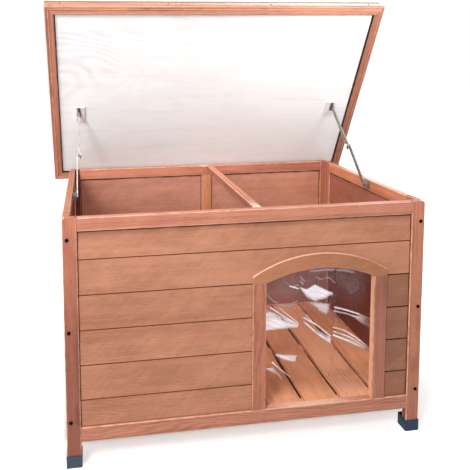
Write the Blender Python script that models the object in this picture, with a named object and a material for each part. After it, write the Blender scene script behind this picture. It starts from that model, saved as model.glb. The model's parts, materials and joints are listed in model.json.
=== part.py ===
"""Wooden dog kennel with a flat lid that hinges at the back.

Metres, +Z up.  The kennel faces -Y and is modelled with its lid propped open
on two folding stays.  X is centred on the kennel, Z is zero under the feet,
and Y is centred on the whole object as it stands open.
"""
import math

import bmesh
import bpy
from mathutils import Matrix, Vector

# Overall sizes
kennel_width = 1.030
kennel_depth = 0.600
kennel_height = 0.695
lid_open_angle = math.radians(64.0)

# Timber stock
frame_thickness = 0.020
stile_width = 0.039
top_rail_height = 0.037
bottom_rail_height = 0.0415
arris = 0.0022
arris_steps = 2
top_corner_radius = 0.009

# Gap between two pieces that touch
fit_gap = 0.0003

# Cladding boards
board_thickness = 0.010
row_count = 6
# Height of the lowest and of the highest row that shows, as a share of a row
first_row_share = 0.770
top_row_share = 0.806
seam_chamfer = 0.0018
tongue_thickness = 0.0034
tongue_height = 0.0040
tongue_clearance = 0.0003
housing_depth = 0.0055
housing_slack = 0.0008

# Feet
rail_clearance_below = 0.070
cap_height = 0.033
cap_base = 0.003
cap_wall = 0.0018
cap_corner = 0.0030
foot_return_width = 0.015
foot_return_height = 0.062

# Bolt holes through the front and back stiles
bolt_hole_radius = 0.0042
bolt_hole_depth = 0.009
bolt_edge_distance = 0.0125
# Heights of the bolts as shares of the kennel's height
bolt_height_shares = (0.1856, 0.5496, 0.9151)

# Doorway, set off from the right-hand stile by the boards beside it
right_boards_width = 0.0715
door_width = 0.322
post_width = 0.039
arch_shoulder_rise = 0.0205
arch_below_seam = 0.0195
arch_middle_height = 0.043
arch_foot_rise = 0.0005
arch_steps = 18

# Curtain of clear strips behind the doorway
strip_count = 3
strip_thickness = 0.0015
strip_side_lap = 0.012
strip_gap = 0.002
strip_above_sill = 0.0385
strip_hinge_drop = 0.0013
clamp_height = 0.030
clamp_thickness = 0.012
clamp_above_arch = 0.0185
clamp_side_lap = 0.016
# Height down the strip, and how far it stands back from the doorway, both as
# shares of the strip's length
strip_fold_shares = (
    ((0.00, 0.000), (0.22, 0.008), (0.36, 0.026), (0.45, 0.012), (0.66, 0.030), (0.84, 0.052), (1.00, 0.110)),
    ((0.00, 0.000), (0.14, 0.012), (0.30, 0.004), (0.52, 0.020), (0.62, 0.044), (0.82, 0.036), (1.00, 0.082)),
    ((0.00, 0.000), (0.20, 0.006), (0.38, 0.018), (0.50, 0.042), (0.64, 0.024), (0.86, 0.040), (1.00, 0.094)),
)

# Floor grid
slat_width = 0.100
slat_gap = 0.012
slat_count = 9
slat_thickness = 0.012
floor_below_sill = 0.003
floor_side_clearance = 0.0015
floor_batten_width = 0.030
floor_batten_height = 0.020
floor_batten_bite = 0.001
slat_arris = 0.0012

# Beam across the top, over the left door post
beam_width = 0.0225
beam_height = 0.021

# Centre stile of the back wall
centre_stile_offset = 0.010

# Lid
lid_side_clearance = 0.028
lid_front_clearance = 0.028
lid_back_clearance = 0.008
fascia_thickness = 0.010
fascia_height = 0.0412
ledge_width = 0.0195
ledge_height = 0.010
ledge_groove = 0.0014
lining_thickness = 0.005
lining_edge_gap = 0.0025
lid_batten_width = 0.030
deck_thickness = 0.006
felt_thickness = 0.0025
felt_overhang = 0.0015
lid_cross_batten_count = 3

# Butt hinges
hinge_inset = 0.200
hinge_length = 0.060
leaf_thickness = 0.0015
leaf_width = 0.022
knuckle_radius = 0.0035
pin_radius = 0.0014
pin_clearance = 0.0004
hinge_pin_back = 0.0040
hinge_pin_down = 0.0035
knuckle_shares = (0.30, 0.40, 0.30)
knuckle_sides = 12

# Folding stays
stay_rail_pivot_back = 0.265
stay_rail_pivot_down = 0.014
stay_lid_pivot_back = 0.3385
stay_lid_pivot_down = 0.016
lower_arm_share = 0.467
stay_over_centre = 0.004
lower_arm_plane = 0.0335
lower_arm_thickness = 0.0035
lower_arm_width = 0.0125
upper_arm_depth = 0.0045
upper_arm_wall = 0.0012
upper_arm_width_lid = 0.0090
upper_arm_width_elbow = 0.0150
stay_pin_radius = 0.0022
stay_pin_head_radius = 0.0045
stay_pin_clearance = 0.0004
rivet_head_height = 0.0012
bracket_thickness = 0.0014
rail_bracket_height = 0.026
rail_bracket_reach = 0.011
lid_bracket_length = 0.036
lid_bracket_drop = 0.0125
pad_width = 0.033
pad_length = 0.057
pad_thickness = 0.008
pad_inset = 0.0285
pad_start = 0.3205

# Derived places, with y measured back from the front face of the kennel
half_width = kennel_width / 2.0
rail_bottom = rail_clearance_below
sill_height = rail_bottom + bottom_rail_height
top_rail_bottom = kennel_height - top_rail_height
board_inset = (frame_thickness - board_thickness) / 2.0
row_height = (top_rail_bottom - sill_height) / (row_count - 2 + first_row_share + top_row_share)
first_seam = sill_height + row_height * first_row_share
seam_heights = [first_seam + row_height * i for i in range(row_count - 1)]
# The door posts end at the seam below the board over the door
post_top = seam_heights[3]
arch_shoulder = post_top + arch_shoulder_rise
arch_peak_outer = seam_heights[4] - arch_below_seam
arch_peak_inner = arch_peak_outer - arch_middle_height
arch_spring_inner = post_top + arch_foot_rise
clamp_bottom = arch_peak_inner + clamp_above_arch
strip_bottom = sill_height + strip_above_sill
leg_bottom = cap_base + fit_gap
door_centre = half_width - stile_width - right_boards_width - post_width - door_width / 2.0
door_left = door_centre - door_width / 2.0
door_right = door_centre + door_width / 2.0
hinge_y = kennel_depth + hinge_pin_back
hinge_z = kennel_height - ledge_height - hinge_pin_down
lid_underside = kennel_height - ledge_height
lid_frame_width = fascia_thickness + ledge_width
lid_outer_x = half_width + lid_side_clearance + lid_frame_width
lid_front_y = -lid_front_clearance - lid_frame_width
lid_back_y = kennel_depth + lid_back_clearance + lid_frame_width
cap_proud = fit_gap + cap_wall


def open_lid_point(y, z):
    """Where a point of the closed lid lies once the lid is propped open."""
    dy = y - hinge_y
    dz = z - hinge_z
    cos = math.cos(lid_open_angle)
    sin = math.sin(lid_open_angle)
    return hinge_y + dy * cos + dz * sin, hinge_z - dy * sin + dz * cos


# The object as it stands open reaches from the front foot caps to the lid's
# upper back edge, and Y is centred between the two
lid_top = lid_underside + fascia_height
felt_top = lid_top + fit_gap + felt_thickness
lid_reach_back = open_lid_point(lid_back_y + felt_overhang, felt_top)[0]
front_y = (cap_proud - lid_reach_back) / 2.0

# Piece colours: base colour, roughness, metallic
finishes = {
    "frame_timber": ((0.52, 0.235, 0.135), 0.55, 0.0),
    "board_timber": ((0.47, 0.225, 0.120), 0.60, 0.0),
    "door_timber": ((0.55, 0.27, 0.14), 0.50, 0.0),
    "floor_timber": ((0.62, 0.31, 0.16), 0.60, 0.0),
    "washed_ply": ((0.82, 0.80, 0.79), 0.70, 0.0),
    "roof_felt": ((0.15, 0.15, 0.17), 0.90, 0.0),
    "zinc_steel": ((0.62, 0.61, 0.60), 0.35, 1.0),
    "foot_plastic": ((0.020, 0.045, 0.085), 0.45, 0.0),
    "clear_vinyl": ((0.85, 0.87, 0.88), 0.10, 0.0),
}


def clear_scene():
    for obj in list(bpy.data.objects):
        bpy.data.objects.remove(obj, do_unlink=True)


def make_material(name, finish):
    colour, roughness, metallic = finishes[finish]
    material = bpy.data.materials.new(name + "_finish")
    material.use_nodes = True
    shader = material.node_tree.nodes["Principled BSDF"]
    shader.inputs["Base Color"].default_value = (*colour, 1.0)
    shader.inputs["Roughness"].default_value = roughness
    shader.inputs["Metallic"].default_value = metallic
    return material


def add_object(name, bm, location, finish, parent=None, rotation=0.0):
    """Turn a bmesh into a placed, named object with a material of its own."""
    bmesh.ops.recalc_face_normals(bm, faces=bm.faces)
    mesh = bpy.data.meshes.new(name)
    bm.to_mesh(mesh)
    bm.free()
    obj = bpy.data.objects.new(name, mesh)
    bpy.context.scene.collection.objects.link(obj)
    obj.location = location
    obj.rotation_euler = (rotation, 0.0, 0.0)
    if finish:
        obj.data.materials.append(make_material(name, finish))
    if parent:
        obj.parent = parent
    return obj


def add_empty(name, location, rotation=0.0):
    empty = bpy.data.objects.new(name, None)
    bpy.context.scene.collection.objects.link(empty)
    empty.location = location
    empty.rotation_euler = (rotation, 0.0, 0.0)
    return empty


def prism(outline, axis, start, end):
    """Extrude an outline along X, Y or Z; the outline's two coordinates are
    the other two axes in alphabetical order."""
    bm = bmesh.new()
    place = {
        "x": lambda a, b: (start, a, b),
        "y": lambda a, b: (a, start, b),
        "z": lambda a, b: (a, b, start),
    }[axis]
    face = bm.faces.new([bm.verts.new(place(a, b)) for a, b in outline])
    grown = bmesh.ops.extrude_face_region(bm, geom=[face])
    step = {"x": (1, 0, 0), "y": (0, 1, 0), "z": (0, 0, 1)}[axis]
    shift = Vector(step) * (end - start)
    verts = [item for item in grown["geom"] if isinstance(item, bmesh.types.BMVert)]
    bmesh.ops.translate(bm, verts=verts, vec=shift)
    return bm


def centre_bm(bm):
    """Move a bmesh onto its own centre and return where that centre was."""
    low = Vector([min(v.co[i] for v in bm.verts) for i in range(3)])
    high = Vector([max(v.co[i] for v in bm.verts) for i in range(3)])
    middle = (low + high) / 2.0
    bmesh.ops.translate(bm, verts=bm.verts, vec=-middle)
    return middle


def solid(name, outline, axis, start, end, finish, parent=None):
    """A prism placed in the kennel's own coordinates, where y is zero at the
    front face; its origin is its centre."""
    bm = prism(outline, axis, start, end)
    middle = centre_bm(bm)
    if parent is None:
        middle.y += front_y
    else:
        middle -= Vector((0.0, hinge_y, hinge_z))
    return add_object(name, bm, middle, finish, parent)


def cutter(name, bm, target, operation="DIFFERENCE", parent=None):
    """Cut or join a bmesh to an object with an exact Boolean."""
    middle = centre_bm(bm)
    if parent is None:
        middle.y += front_y
    else:
        middle -= Vector((0.0, hinge_y, hinge_z))
    tool = add_object(name, bm, middle, None, parent)
    tool.hide_render = True
    tool.display_type = "WIRE"
    modifier = target.modifiers.new(name, "BOOLEAN")
    modifier.operation = operation
    modifier.solver = "EXACT"
    modifier.object = tool
    return tool


def merge(*parts):
    """Collect several bmeshes in one."""
    whole = bmesh.new()
    for part in parts:
        mesh = bpy.data.meshes.new("scratch")
        bmesh.ops.recalc_face_normals(part, faces=part.faces)
        part.to_mesh(mesh)
        part.free()
        whole.from_mesh(mesh)
        bpy.data.meshes.remove(mesh)
    return whole


def arc(centre_a, centre_b, radius, first, last, steps):
    """Points on an arc, with both ends, angles in degrees."""
    points = []
    for i in range(steps + 1):
        angle = math.radians(first + (last - first) * i / steps)
        points.append((centre_a + radius * math.cos(angle), centre_b + radius * math.sin(angle)))
    return points


def rounded_rectangle(a0, b0, a1, b1, radius, steps=arris_steps):
    """Rectangle with rounded corners, counter-clockwise."""
    return (
        arc(a0 + radius, b0 + radius, radius, 180, 270, steps)
        + arc(a1 - radius, b0 + radius, radius, 270, 360, steps)
        + arc(a1 - radius, b1 - radius, radius, 0, 90, steps)
        + arc(a0 + radius, b1 - radius, radius, 90, 180, steps)
    )


def grooved_section(a0, b0, a1, b1, groove_low, groove_high):
    """Section of a stile: b is its thickness, and the boards' housing groove
    is cut in the edge at a0, at a1 or in both."""
    middle = (b0 + b1) / 2.0
    half = board_thickness / 2.0 + fit_gap
    points = arc(a0 + arris, b0 + arris, arris, 180, 270, arris_steps)
    points += arc(a1 - arris, b0 + arris, arris, 270, 360, arris_steps)
    if groove_high:
        points += [
            (a1, middle - half),
            (a1 - housing_depth, middle - half),
            (a1 - housing_depth, middle + half),
            (a1, middle + half),
        ]
    points += arc(a1 - arris, b1 - arris, arris, 0, 90, arris_steps)
    points += arc(a0 + arris, b1 - arris, arris, 90, 180, arris_steps)
    if groove_low:
        points += [
            (a0, middle + half),
            (a0 + housing_depth, middle + half),
            (a0 + housing_depth, middle - half),
            (a0, middle - half),
        ]
    return points


def swap(outline):
    return [(b, a) for a, b in outline]


def cylinder_bm(centre, axis, radius, start, end, sides=knuckle_sides):
    return prism(arc(centre[0], centre[1], radius, 0, 360 - 360 / sides, sides - 1), axis, start, end)


def box_bm(x0, y0, z0, x1, y1, z1):
    return prism([(x0, y0), (x1, y0), (x1, y1), (x0, y1)], "z", z0, z1)


def bore_bolt_holes(target, name, x, face_y, inward):
    """Counterbored bolt holes from the outer face of a stile."""
    overrun = arris
    holes = []
    for share in bolt_height_shares:
        start = face_y - inward * overrun
        end = face_y + inward * bolt_hole_depth
        low, high = min(start, end), max(start, end)
        centre = (x, kennel_height * share)
        holes.append(cylinder_bm(centre, "y", bolt_hole_radius, low, high))
    cutter(name + "_holes", merge(*holes), target)


def round_top_corner(target, name, x_outer, side, y0, y1):
    """Round the outer top corner of a corner stile."""
    radius = top_corner_radius
    overrun = arris
    centre_x = x_outer - side * radius
    centre_z = kennel_height - radius
    first, last = (0, 90) if side > 0 else (180, 90)
    curve = arc(centre_x, centre_z, radius, first, last, 5)
    top = kennel_height + overrun
    outside = x_outer + side * overrun
    outline = [(outside, centre_z)] + curve + [(centre_x, top), (outside, top)]
    cutter(name + "_corner", prism(outline, "y", y0 - overrun, y1 + overrun), target)


def build_wall_frame(wall, y0, outer_face_y, inward):
    """Stiles and rails of the front or the back wall."""
    y1 = y0 + frame_thickness
    for word, side in (("left", -1), ("right", 1)):
        x_outer = side * half_width
        x_inner = side * (half_width - stile_width)
        low, high = min(x_outer, x_inner), max(x_outer, x_inner)
        outline = grooved_section(low, y0, high, y1, side > 0, side < 0)
        name = f"{wall}_{word}_stile"
        stile = solid(name, outline, "z", leg_bottom, kennel_height, "frame_timber")
        bore_bolt_holes(stile, name, side * (half_width - bolt_edge_distance), outer_face_y, inward)
        round_top_corner(stile, name, x_outer, side, y0, y1)
    reach = half_width - stile_width - fit_gap
    top = rounded_rectangle(y0, top_rail_bottom, y1, kennel_height, arris)
    solid(f"{wall}_top_rail", top, "x", -reach, reach, "frame_timber")
    bottom = rounded_rectangle(y0, rail_bottom, y1, sill_height, arris)
    solid(f"{wall}_bottom_rail", bottom, "x", -reach, reach, "frame_timber")


def board_section(y_middle, bottom, top, bottom_joint, top_joint, inner_seams=(), outer=-1):
    """Section of one tongued and grooved board, or of several that are held
    as one leaf.  The seams are chamfered on the outer side and flush on the
    inner one, with a tongue on top and a groove below."""
    half = board_thickness / 2.0
    v = seam_chamfer
    front, back = y_middle - half, y_middle + half
    tongue = tongue_thickness / 2.0
    groove = tongue + tongue_clearance
    deep = tongue_height + tongue_clearance
    points = [(front + v, bottom), (front, bottom + v)] if bottom_joint else [(front, bottom)]
    for seam in inner_seams:
        points += [(front, seam - v), (front + v, seam), (front, seam + v)]
    if top_joint:
        points += [
            (front, top - v),
            (front + v, top),
            (y_middle - tongue, top),
            (y_middle - tongue, top + tongue_height),
            (y_middle + tongue, top + tongue_height),
            (y_middle + tongue, top),
            (back, top),
        ]
    else:
        points += [(front, top), (back, top)]
    points += [(back, bottom)]
    if bottom_joint:
        points += [
            (y_middle + groove, bottom),
            (y_middle + groove, bottom + deep),
            (y_middle - groove, bottom + deep),
            (y_middle - groove, bottom),
        ]
    if outer > 0:
        points = [(2.0 * y_middle - a, b) for a, b in points][::-1]
    return points


def arch_radius(half_chord, rise):
    return (half_chord ** 2 + rise ** 2) / (2.0 * rise)


def arch_curve(half_chord, spring, peak):
    """Points of a shallow arch from left to right."""
    radius = arch_radius(half_chord, peak - spring)
    sweep = math.degrees(math.asin(half_chord / radius))
    return arc(door_centre, peak - radius, radius, 90 + sweep, 90 - sweep, arch_steps)


def build_front_boards():
    y_middle = board_inset + board_thickness / 2.0
    seams = seam_heights
    bottom = sill_height + fit_gap
    top = top_rail_bottom - fit_gap
    half = fit_gap / 2.0
    stile_edge = half_width - stile_width
    reach = stile_edge + housing_depth - housing_slack
    post_outer_left = door_left - post_width
    post_outer_right = door_right + post_width
    into_post = housing_depth - housing_slack
    section = board_section(y_middle, seams[4] + half, top, True, False)
    solid("front_board_top", section, "x", -reach, reach, "board_timber")
    section = board_section(y_middle, seams[3] + half, seams[4] - half, True, True)
    arch_board = solid("front_board_over_door", section, "x", -reach, reach, "board_timber")
    # The board over the door is cut to the outside of the arch
    clear = fit_gap
    curve = arch_curve(door_width / 2.0 + post_width + clear, arch_shoulder + clear, arch_peak_outer + clear)
    foot = seams[3] - board_thickness
    outline = [(curve[0][0], foot)] + curve + [(curve[-1][0], foot)]
    cut = prism(outline, "y", board_inset - clear * 10, board_inset + board_thickness + clear * 10)
    cutter("arch_clearance", cut, arch_board)
    edges = [bottom] + seams[:4]
    for i in range(4):
        low = edges[i] + (half if i else 0.0)
        high = edges[i + 1] - half
        section = board_section(y_middle, low, high, i > 0, True)
        name = f"front_board_left_{i + 1}"
        left = solid(name, section, "x", -reach, post_outer_left + into_post, "board_timber")
    section = board_section(y_middle, bottom, seams[3] - half, False, True, seams[:3])
    right = solid("front_boards_right", section, "x", post_outer_right - into_post, reach, "board_timber")
    # The tongues stop short of the arch, which stands on the posts
    low, high = post_top - clear * 2.0, post_top + board_thickness
    near, far = board_inset - clear * 10, board_inset + board_thickness + clear * 10
    for word, board, side, edge in (("left", left, 1, post_outer_left), ("right", right, -1, post_outer_right)):
        start, end = edge - side * clear, edge + side * board_thickness
        cut = box_bm(min(start, end), near, low, max(start, end), far, high)
        cutter(f"tongue_clearance_{word}", cut, board)


def build_doorway():
    for word, side in (("left", -1), ("right", 1)):
        inner = door_centre + side * door_width / 2.0
        outer = inner + side * post_width
        low, high = min(inner, outer), max(inner, outer)
        section = grooved_section(low, 0.0, high, frame_thickness, side < 0, side > 0)
        solid(f"door_post_{word}", section, "z", sill_height + fit_gap, post_top - fit_gap, "door_timber")
    half_outer = door_width / 2.0 + post_width
    outer = arch_curve(half_outer, arch_shoulder, arch_peak_outer)
    inner = arch_curve(door_width / 2.0, arch_spring_inner, arch_peak_inner)
    outline = [(outer[0][0], post_top)] + outer + [(outer[-1][0], post_top)]
    outline += [(inner[-1][0], post_top)] + inner[::-1] + [(inner[0][0], post_top)]
    arch = solid("door_arch", outline, "y", 0.0, frame_thickness, "door_timber")
    edge = arch.modifiers.new("arris", "BEVEL")
    edge.width = arris / 2.0
    edge.segments = 1
    edge.limit_method = "ANGLE"
    edge.angle_limit = math.radians(60)


def build_curtain():
    y_back = frame_thickness + fit_gap
    left = door_left - clamp_side_lap
    right = door_right + clamp_side_lap
    clamp = rounded_rectangle(y_back, clamp_bottom, y_back + clamp_thickness, clamp_bottom + clamp_height, arris)
    solid("curtain_clamp", clamp, "x", left, right, "frame_timber")
    curtain_left = door_left - strip_side_lap
    curtain_right = door_right + strip_side_lap
    seam_left = door_left + door_width / strip_count
    seam_right = door_right - door_width / strip_count
    spans = (
        (curtain_left, seam_left - strip_gap / 2.0),
        (seam_left + strip_gap / 2.0, seam_right - strip_gap / 2.0),
        (seam_right + strip_gap / 2.0, curtain_right),
    )
    pivot_z = clamp_bottom - strip_hinge_drop
    pivot_y = y_back + strip_thickness / 2.0
    length = pivot_z - strip_bottom
    half = strip_thickness / 2.0
    for word, span, shares in zip(("left", "middle", "right"), spans, strip_fold_shares):
        front = [(back * length - half, -down * length) for down, back in shares]
        rear = [(back * length + half, -down * length) for down, back in shares]
        bm = prism(front + rear[::-1], "x", span[0], span[1])
        middle_x = (span[0] + span[1]) / 2.0
        bmesh.ops.translate(bm, verts=bm.verts, vec=(-middle_x, 0.0, 0.0))
        place = (middle_x, front_y + pivot_y, pivot_z)
        add_object(f"curtain_strip_{word}", bm, place, "clear_vinyl")


def build_back_wall():
    y0 = kennel_depth - frame_thickness
    build_wall_frame("back", y0, kennel_depth, -1)
    centre = centre_stile_offset
    low, high = centre - stile_width / 2.0, centre + stile_width / 2.0
    section = grooved_section(low, y0, high, kennel_depth, True, True)
    solid("back_centre_stile", section, "z", sill_height + fit_gap, top_rail_bottom - fit_gap, "frame_timber")
    y_middle = y0 + frame_thickness / 2.0
    bottom, top = sill_height + fit_gap, top_rail_bottom - fit_gap
    section = board_section(y_middle, bottom, top, False, False, seam_heights, 1)
    into = housing_depth - housing_slack
    edge = half_width - stile_width + into
    solid("back_boards_left", section, "x", -edge, low + into, "board_timber")
    solid("back_boards_right", section, "x", high - into, edge, "board_timber")


def build_side_wall(word, side):
    x_outer = side * half_width
    x_inner = side * (half_width - frame_thickness)
    x0, x1 = min(x_outer, x_inner), max(x_outer, x_inner)
    front = frame_thickness + fit_gap
    back = kennel_depth - frame_thickness - fit_gap
    stiles = (("front", front, front + stile_width, 1), ("back", back - stile_width, back, -1))
    for end, y0, y1, inward in stiles:
        section = swap(grooved_section(y0, x0, y1, x1, inward < 0, inward > 0))
        name = f"{word}_{end}_stile"
        stile = solid(name, section, "z", leg_bottom, kennel_height, "frame_timber")
        # Below the rail only the strip next to the corner goes on to the foot
        overrun = arris
        kept = y0 + foot_return_width if inward > 0 else y1 - foot_return_width
        cut_end = y1 + overrun if inward > 0 else y0 - overrun
        low, high = min(kept, cut_end), max(kept, cut_end)
        cut = box_bm(x0 - overrun, low, leg_bottom - overrun, x1 + overrun, high, foot_return_height)
        cutter(name + "_foot", cut, stile)
    y0 = front + stile_width + fit_gap
    y1 = back - stile_width - fit_gap
    top = rounded_rectangle(x0, top_rail_bottom, x1, kennel_height, arris)
    solid(f"{word}_top_rail", top, "y", y0, y1, "frame_timber")
    bottom = rounded_rectangle(x0, rail_bottom, x1, sill_height, arris)
    solid(f"{word}_bottom_rail", bottom, "y", y0, y1, "frame_timber")
    into = housing_depth - housing_slack + fit_gap
    bottom, top = sill_height + fit_gap, top_rail_bottom - fit_gap
    section = board_section((x0 + x1) / 2.0, bottom, top, False, False, seam_heights, side)
    solid(f"{word}_boards", section, "y", y0 - into, y1 + into, "board_timber")


def build_feet():
    leg_depth = frame_thickness + fit_gap + foot_return_width
    for x_word, x_side in (("left", -1), ("right", 1)):
        for y_word, y_side in (("front", -1), ("back", 1)):
            x_outer = x_side * half_width
            x_inner = x_side * (half_width - stile_width)
            x0, x1 = min(x_outer, x_inner), max(x_outer, x_inner)
            y0 = 0.0 if y_side < 0 else kennel_depth - leg_depth
            y1 = y0 + leg_depth
            proud = cap_proud
            shell = rounded_rectangle(x0 - proud, y0 - proud, x1 + proud, y1 + proud, cap_corner)
            name = f"foot_cap_{y_word}_{x_word}"
            cap = solid(name, shell, "z", 0.0, cap_height, "foot_plastic")
            gap = fit_gap
            pocket = box_bm(x0 - gap, y0 - gap, cap_base, x1 + gap, y1 + gap, cap_height + cap_wall)
            cutter(name + "_pocket", pocket, cap)


def build_floor():
    top = sill_height - floor_below_sill
    under = top - slat_thickness
    y0 = frame_thickness + fit_gap
    y1 = kennel_depth - frame_thickness - fit_gap
    half_span = half_width - frame_thickness - floor_side_clearance
    pitch = slat_width + slat_gap
    slats = []
    for i in range(slat_count):
        middle = (i - (slat_count - 1) / 2.0) * pitch
        x0 = max(middle - slat_width / 2.0, -half_span)
        x1 = min(middle + slat_width / 2.0, half_span)
        outline = [
            (x0, under),
            (x1, under),
            (x1, top - slat_arris),
            (x1 - slat_arris, top),
            (x0 + slat_arris, top),
            (x0, top - slat_arris),
        ]
        slats.append(prism(outline, "y", y0, y1))
    batten_top = under + floor_batten_bite
    batten_bottom = batten_top - floor_batten_height
    middle_y = (y0 + y1 - floor_batten_width) / 2.0
    battens = []
    for start in (y0, middle_y, y1 - floor_batten_width):
        battens.append(
            box_bm(-half_span, start, batten_bottom, half_span, start + floor_batten_width, batten_top)
        )
    bm = merge(*battens)
    middle = centre_bm(bm)
    middle.y += front_y
    floor = add_object("floor_grid", bm, middle, "floor_timber")
    cutter("floor_slats", merge(*slats), floor, "UNION")


def build_beam():
    left = door_left - post_width / 2.0 - beam_width / 2.0
    y0 = frame_thickness + fit_gap
    y1 = kennel_depth - frame_thickness - fit_gap
    section = rounded_rectangle(left, kennel_height - beam_height, left + beam_width, kennel_height, arris)
    solid("cross_beam", section, "y", y0, y1, "frame_timber")


def moulding_section():
    """Lid edge moulding: inset from the lid's edge, and height above the
    underside.  An upright fascia outside and a ledge inside it, with a small
    groove between the two on the underside."""
    groove = ledge_groove
    edge = fascia_thickness
    wide = lid_frame_width
    points = arc(arris, arris, arris, 180, 270, arris_steps)
    points += [(edge - groove, 0.0), (edge, groove), (edge + groove, 0.0)]
    points += arc(wide - arris / 2.0, arris / 2.0, arris / 2.0, 270, 360, 1)
    points += [(wide, ledge_height), (edge, ledge_height), (edge, fascia_height)]
    points += arc(arris, fascia_height - arris, arris, 90, 180, arris_steps)
    return points


def build_lid_moulding(name, near, far, along_x, lid):
    """One side of the lid's edge frame, mitred at both ends.  near is the
    lid's edge that it runs along, far is the opposite one."""
    bm = bmesh.new()
    inward = 1.0 if far > near else -1.0
    mitre = fit_gap / 2.0
    rings = []
    for end in (-1, 1):
        ring = []
        for inset, height in moulding_section():
            across = near + inward * inset
            if along_x:
                along = end * (lid_outer_x - inset - mitre)
                place = (along, across, lid_underside + height)
            else:
                edge = lid_front_y if end < 0 else lid_back_y
                along = edge - end * (inset + mitre)
                place = (across, along, lid_underside + height)
            ring.append(bm.verts.new(place))
        rings.append(ring)
    count = len(rings[0])
    for i in range(count):
        j = (i + 1) % count
        bm.faces.new((rings[0][i], rings[0][j], rings[1][j], rings[1][i]))
    bm.faces.new(rings[0])
    bm.faces.new(rings[1])
    middle = centre_bm(bm) - Vector((0.0, hinge_y, hinge_z))
    add_object(name, bm, middle, "frame_timber", lid)


def build_lid(lid):
    build_lid_moulding("lid_moulding_front", lid_front_y, lid_back_y, True, lid)
    build_lid_moulding("lid_moulding_back", lid_back_y, lid_front_y, True, lid)
    build_lid_moulding("lid_moulding_left", -lid_outer_x, lid_outer_x, False, lid)
    build_lid_moulding("lid_moulding_right", lid_outer_x, -lid_outer_x, False, lid)
    overrun_below = lining_thickness / 2.0
    # The lining lies between the ledges, with an open gap all round it
    inset = lid_frame_width + lining_edge_gap
    x1 = lid_outer_x - inset
    y0 = lid_front_y + inset
    y1 = lid_back_y - inset
    level = kennel_height + fit_gap
    outline = [(-x1, y0), (x1, y0), (x1, y1), (-x1, y1)]
    lining = solid("lid_lining", outline, "z", level, level + lining_thickness, "washed_ply", lid)
    pads = []
    for side in (-1, 1):
        outer = side * (half_width - pad_inset)
        inner = side * (half_width - pad_inset - pad_width)
        low, high = min(outer, inner), max(outer, inner)
        bite = lining_thickness / 2.0
        pad = box_bm(low, pad_start, level - pad_thickness, high, pad_start + pad_length, level + bite)
        pads.append(pad)
    cutter("lid_pads", merge(*pads), lining, "UNION", lid)
    # Inside the fascia: the battens and the deck on them, screwed up as one.
    # The edge battens stand on the ledges and are rebated for the lining
    inset = fascia_thickness + fit_gap
    deck_x = lid_outer_x - inset
    deck_y0 = lid_front_y + inset
    deck_y1 = lid_back_y - inset
    outline = [(-deck_x, deck_y0), (deck_x, deck_y0), (deck_x, deck_y1), (-deck_x, deck_y1)]
    deck = solid("lid_deck", outline, "z", level, lid_top, "washed_ply", lid)
    below = level - overrun_below
    rebate = lid_frame_width
    recess = box_bm(
        rebate - lid_outer_x, lid_front_y + rebate, below,
        lid_outer_x - rebate, lid_back_y - rebate, level + lining_thickness + fit_gap,
    )
    cutter("lid_recess", recess, deck, parent=lid)
    bays = lid_cross_batten_count + 1
    wide = lid_batten_width
    pitch = (2.0 * deck_x - wide) / bays
    batten_top = lid_top - deck_thickness
    for i in range(bays):
        start = -deck_x + wide + pitch * i
        bay = box_bm(start, deck_y0 + wide, below, start + pitch - wide, deck_y1 - wide, batten_top)
        cutter(f"lid_bay_{i}", bay, deck, parent=lid)
    reach = lid_outer_x + felt_overhang
    y0 = lid_front_y - felt_overhang
    y1 = lid_back_y + felt_overhang
    outline = rounded_rectangle(-reach, y0, reach, y1, felt_thickness)
    solid("lid_felt", outline, "z", lid_top + fit_gap, felt_top, "roof_felt", lid)


def knuckle_spans(middle):
    """Start and end along X of each knuckle of a hinge."""
    spans = []
    start = middle - hinge_length / 2.0
    for share in knuckle_shares:
        end = start + hinge_length * share
        spans.append((start + fit_gap, end - fit_gap))
        start = end
    return spans


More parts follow.
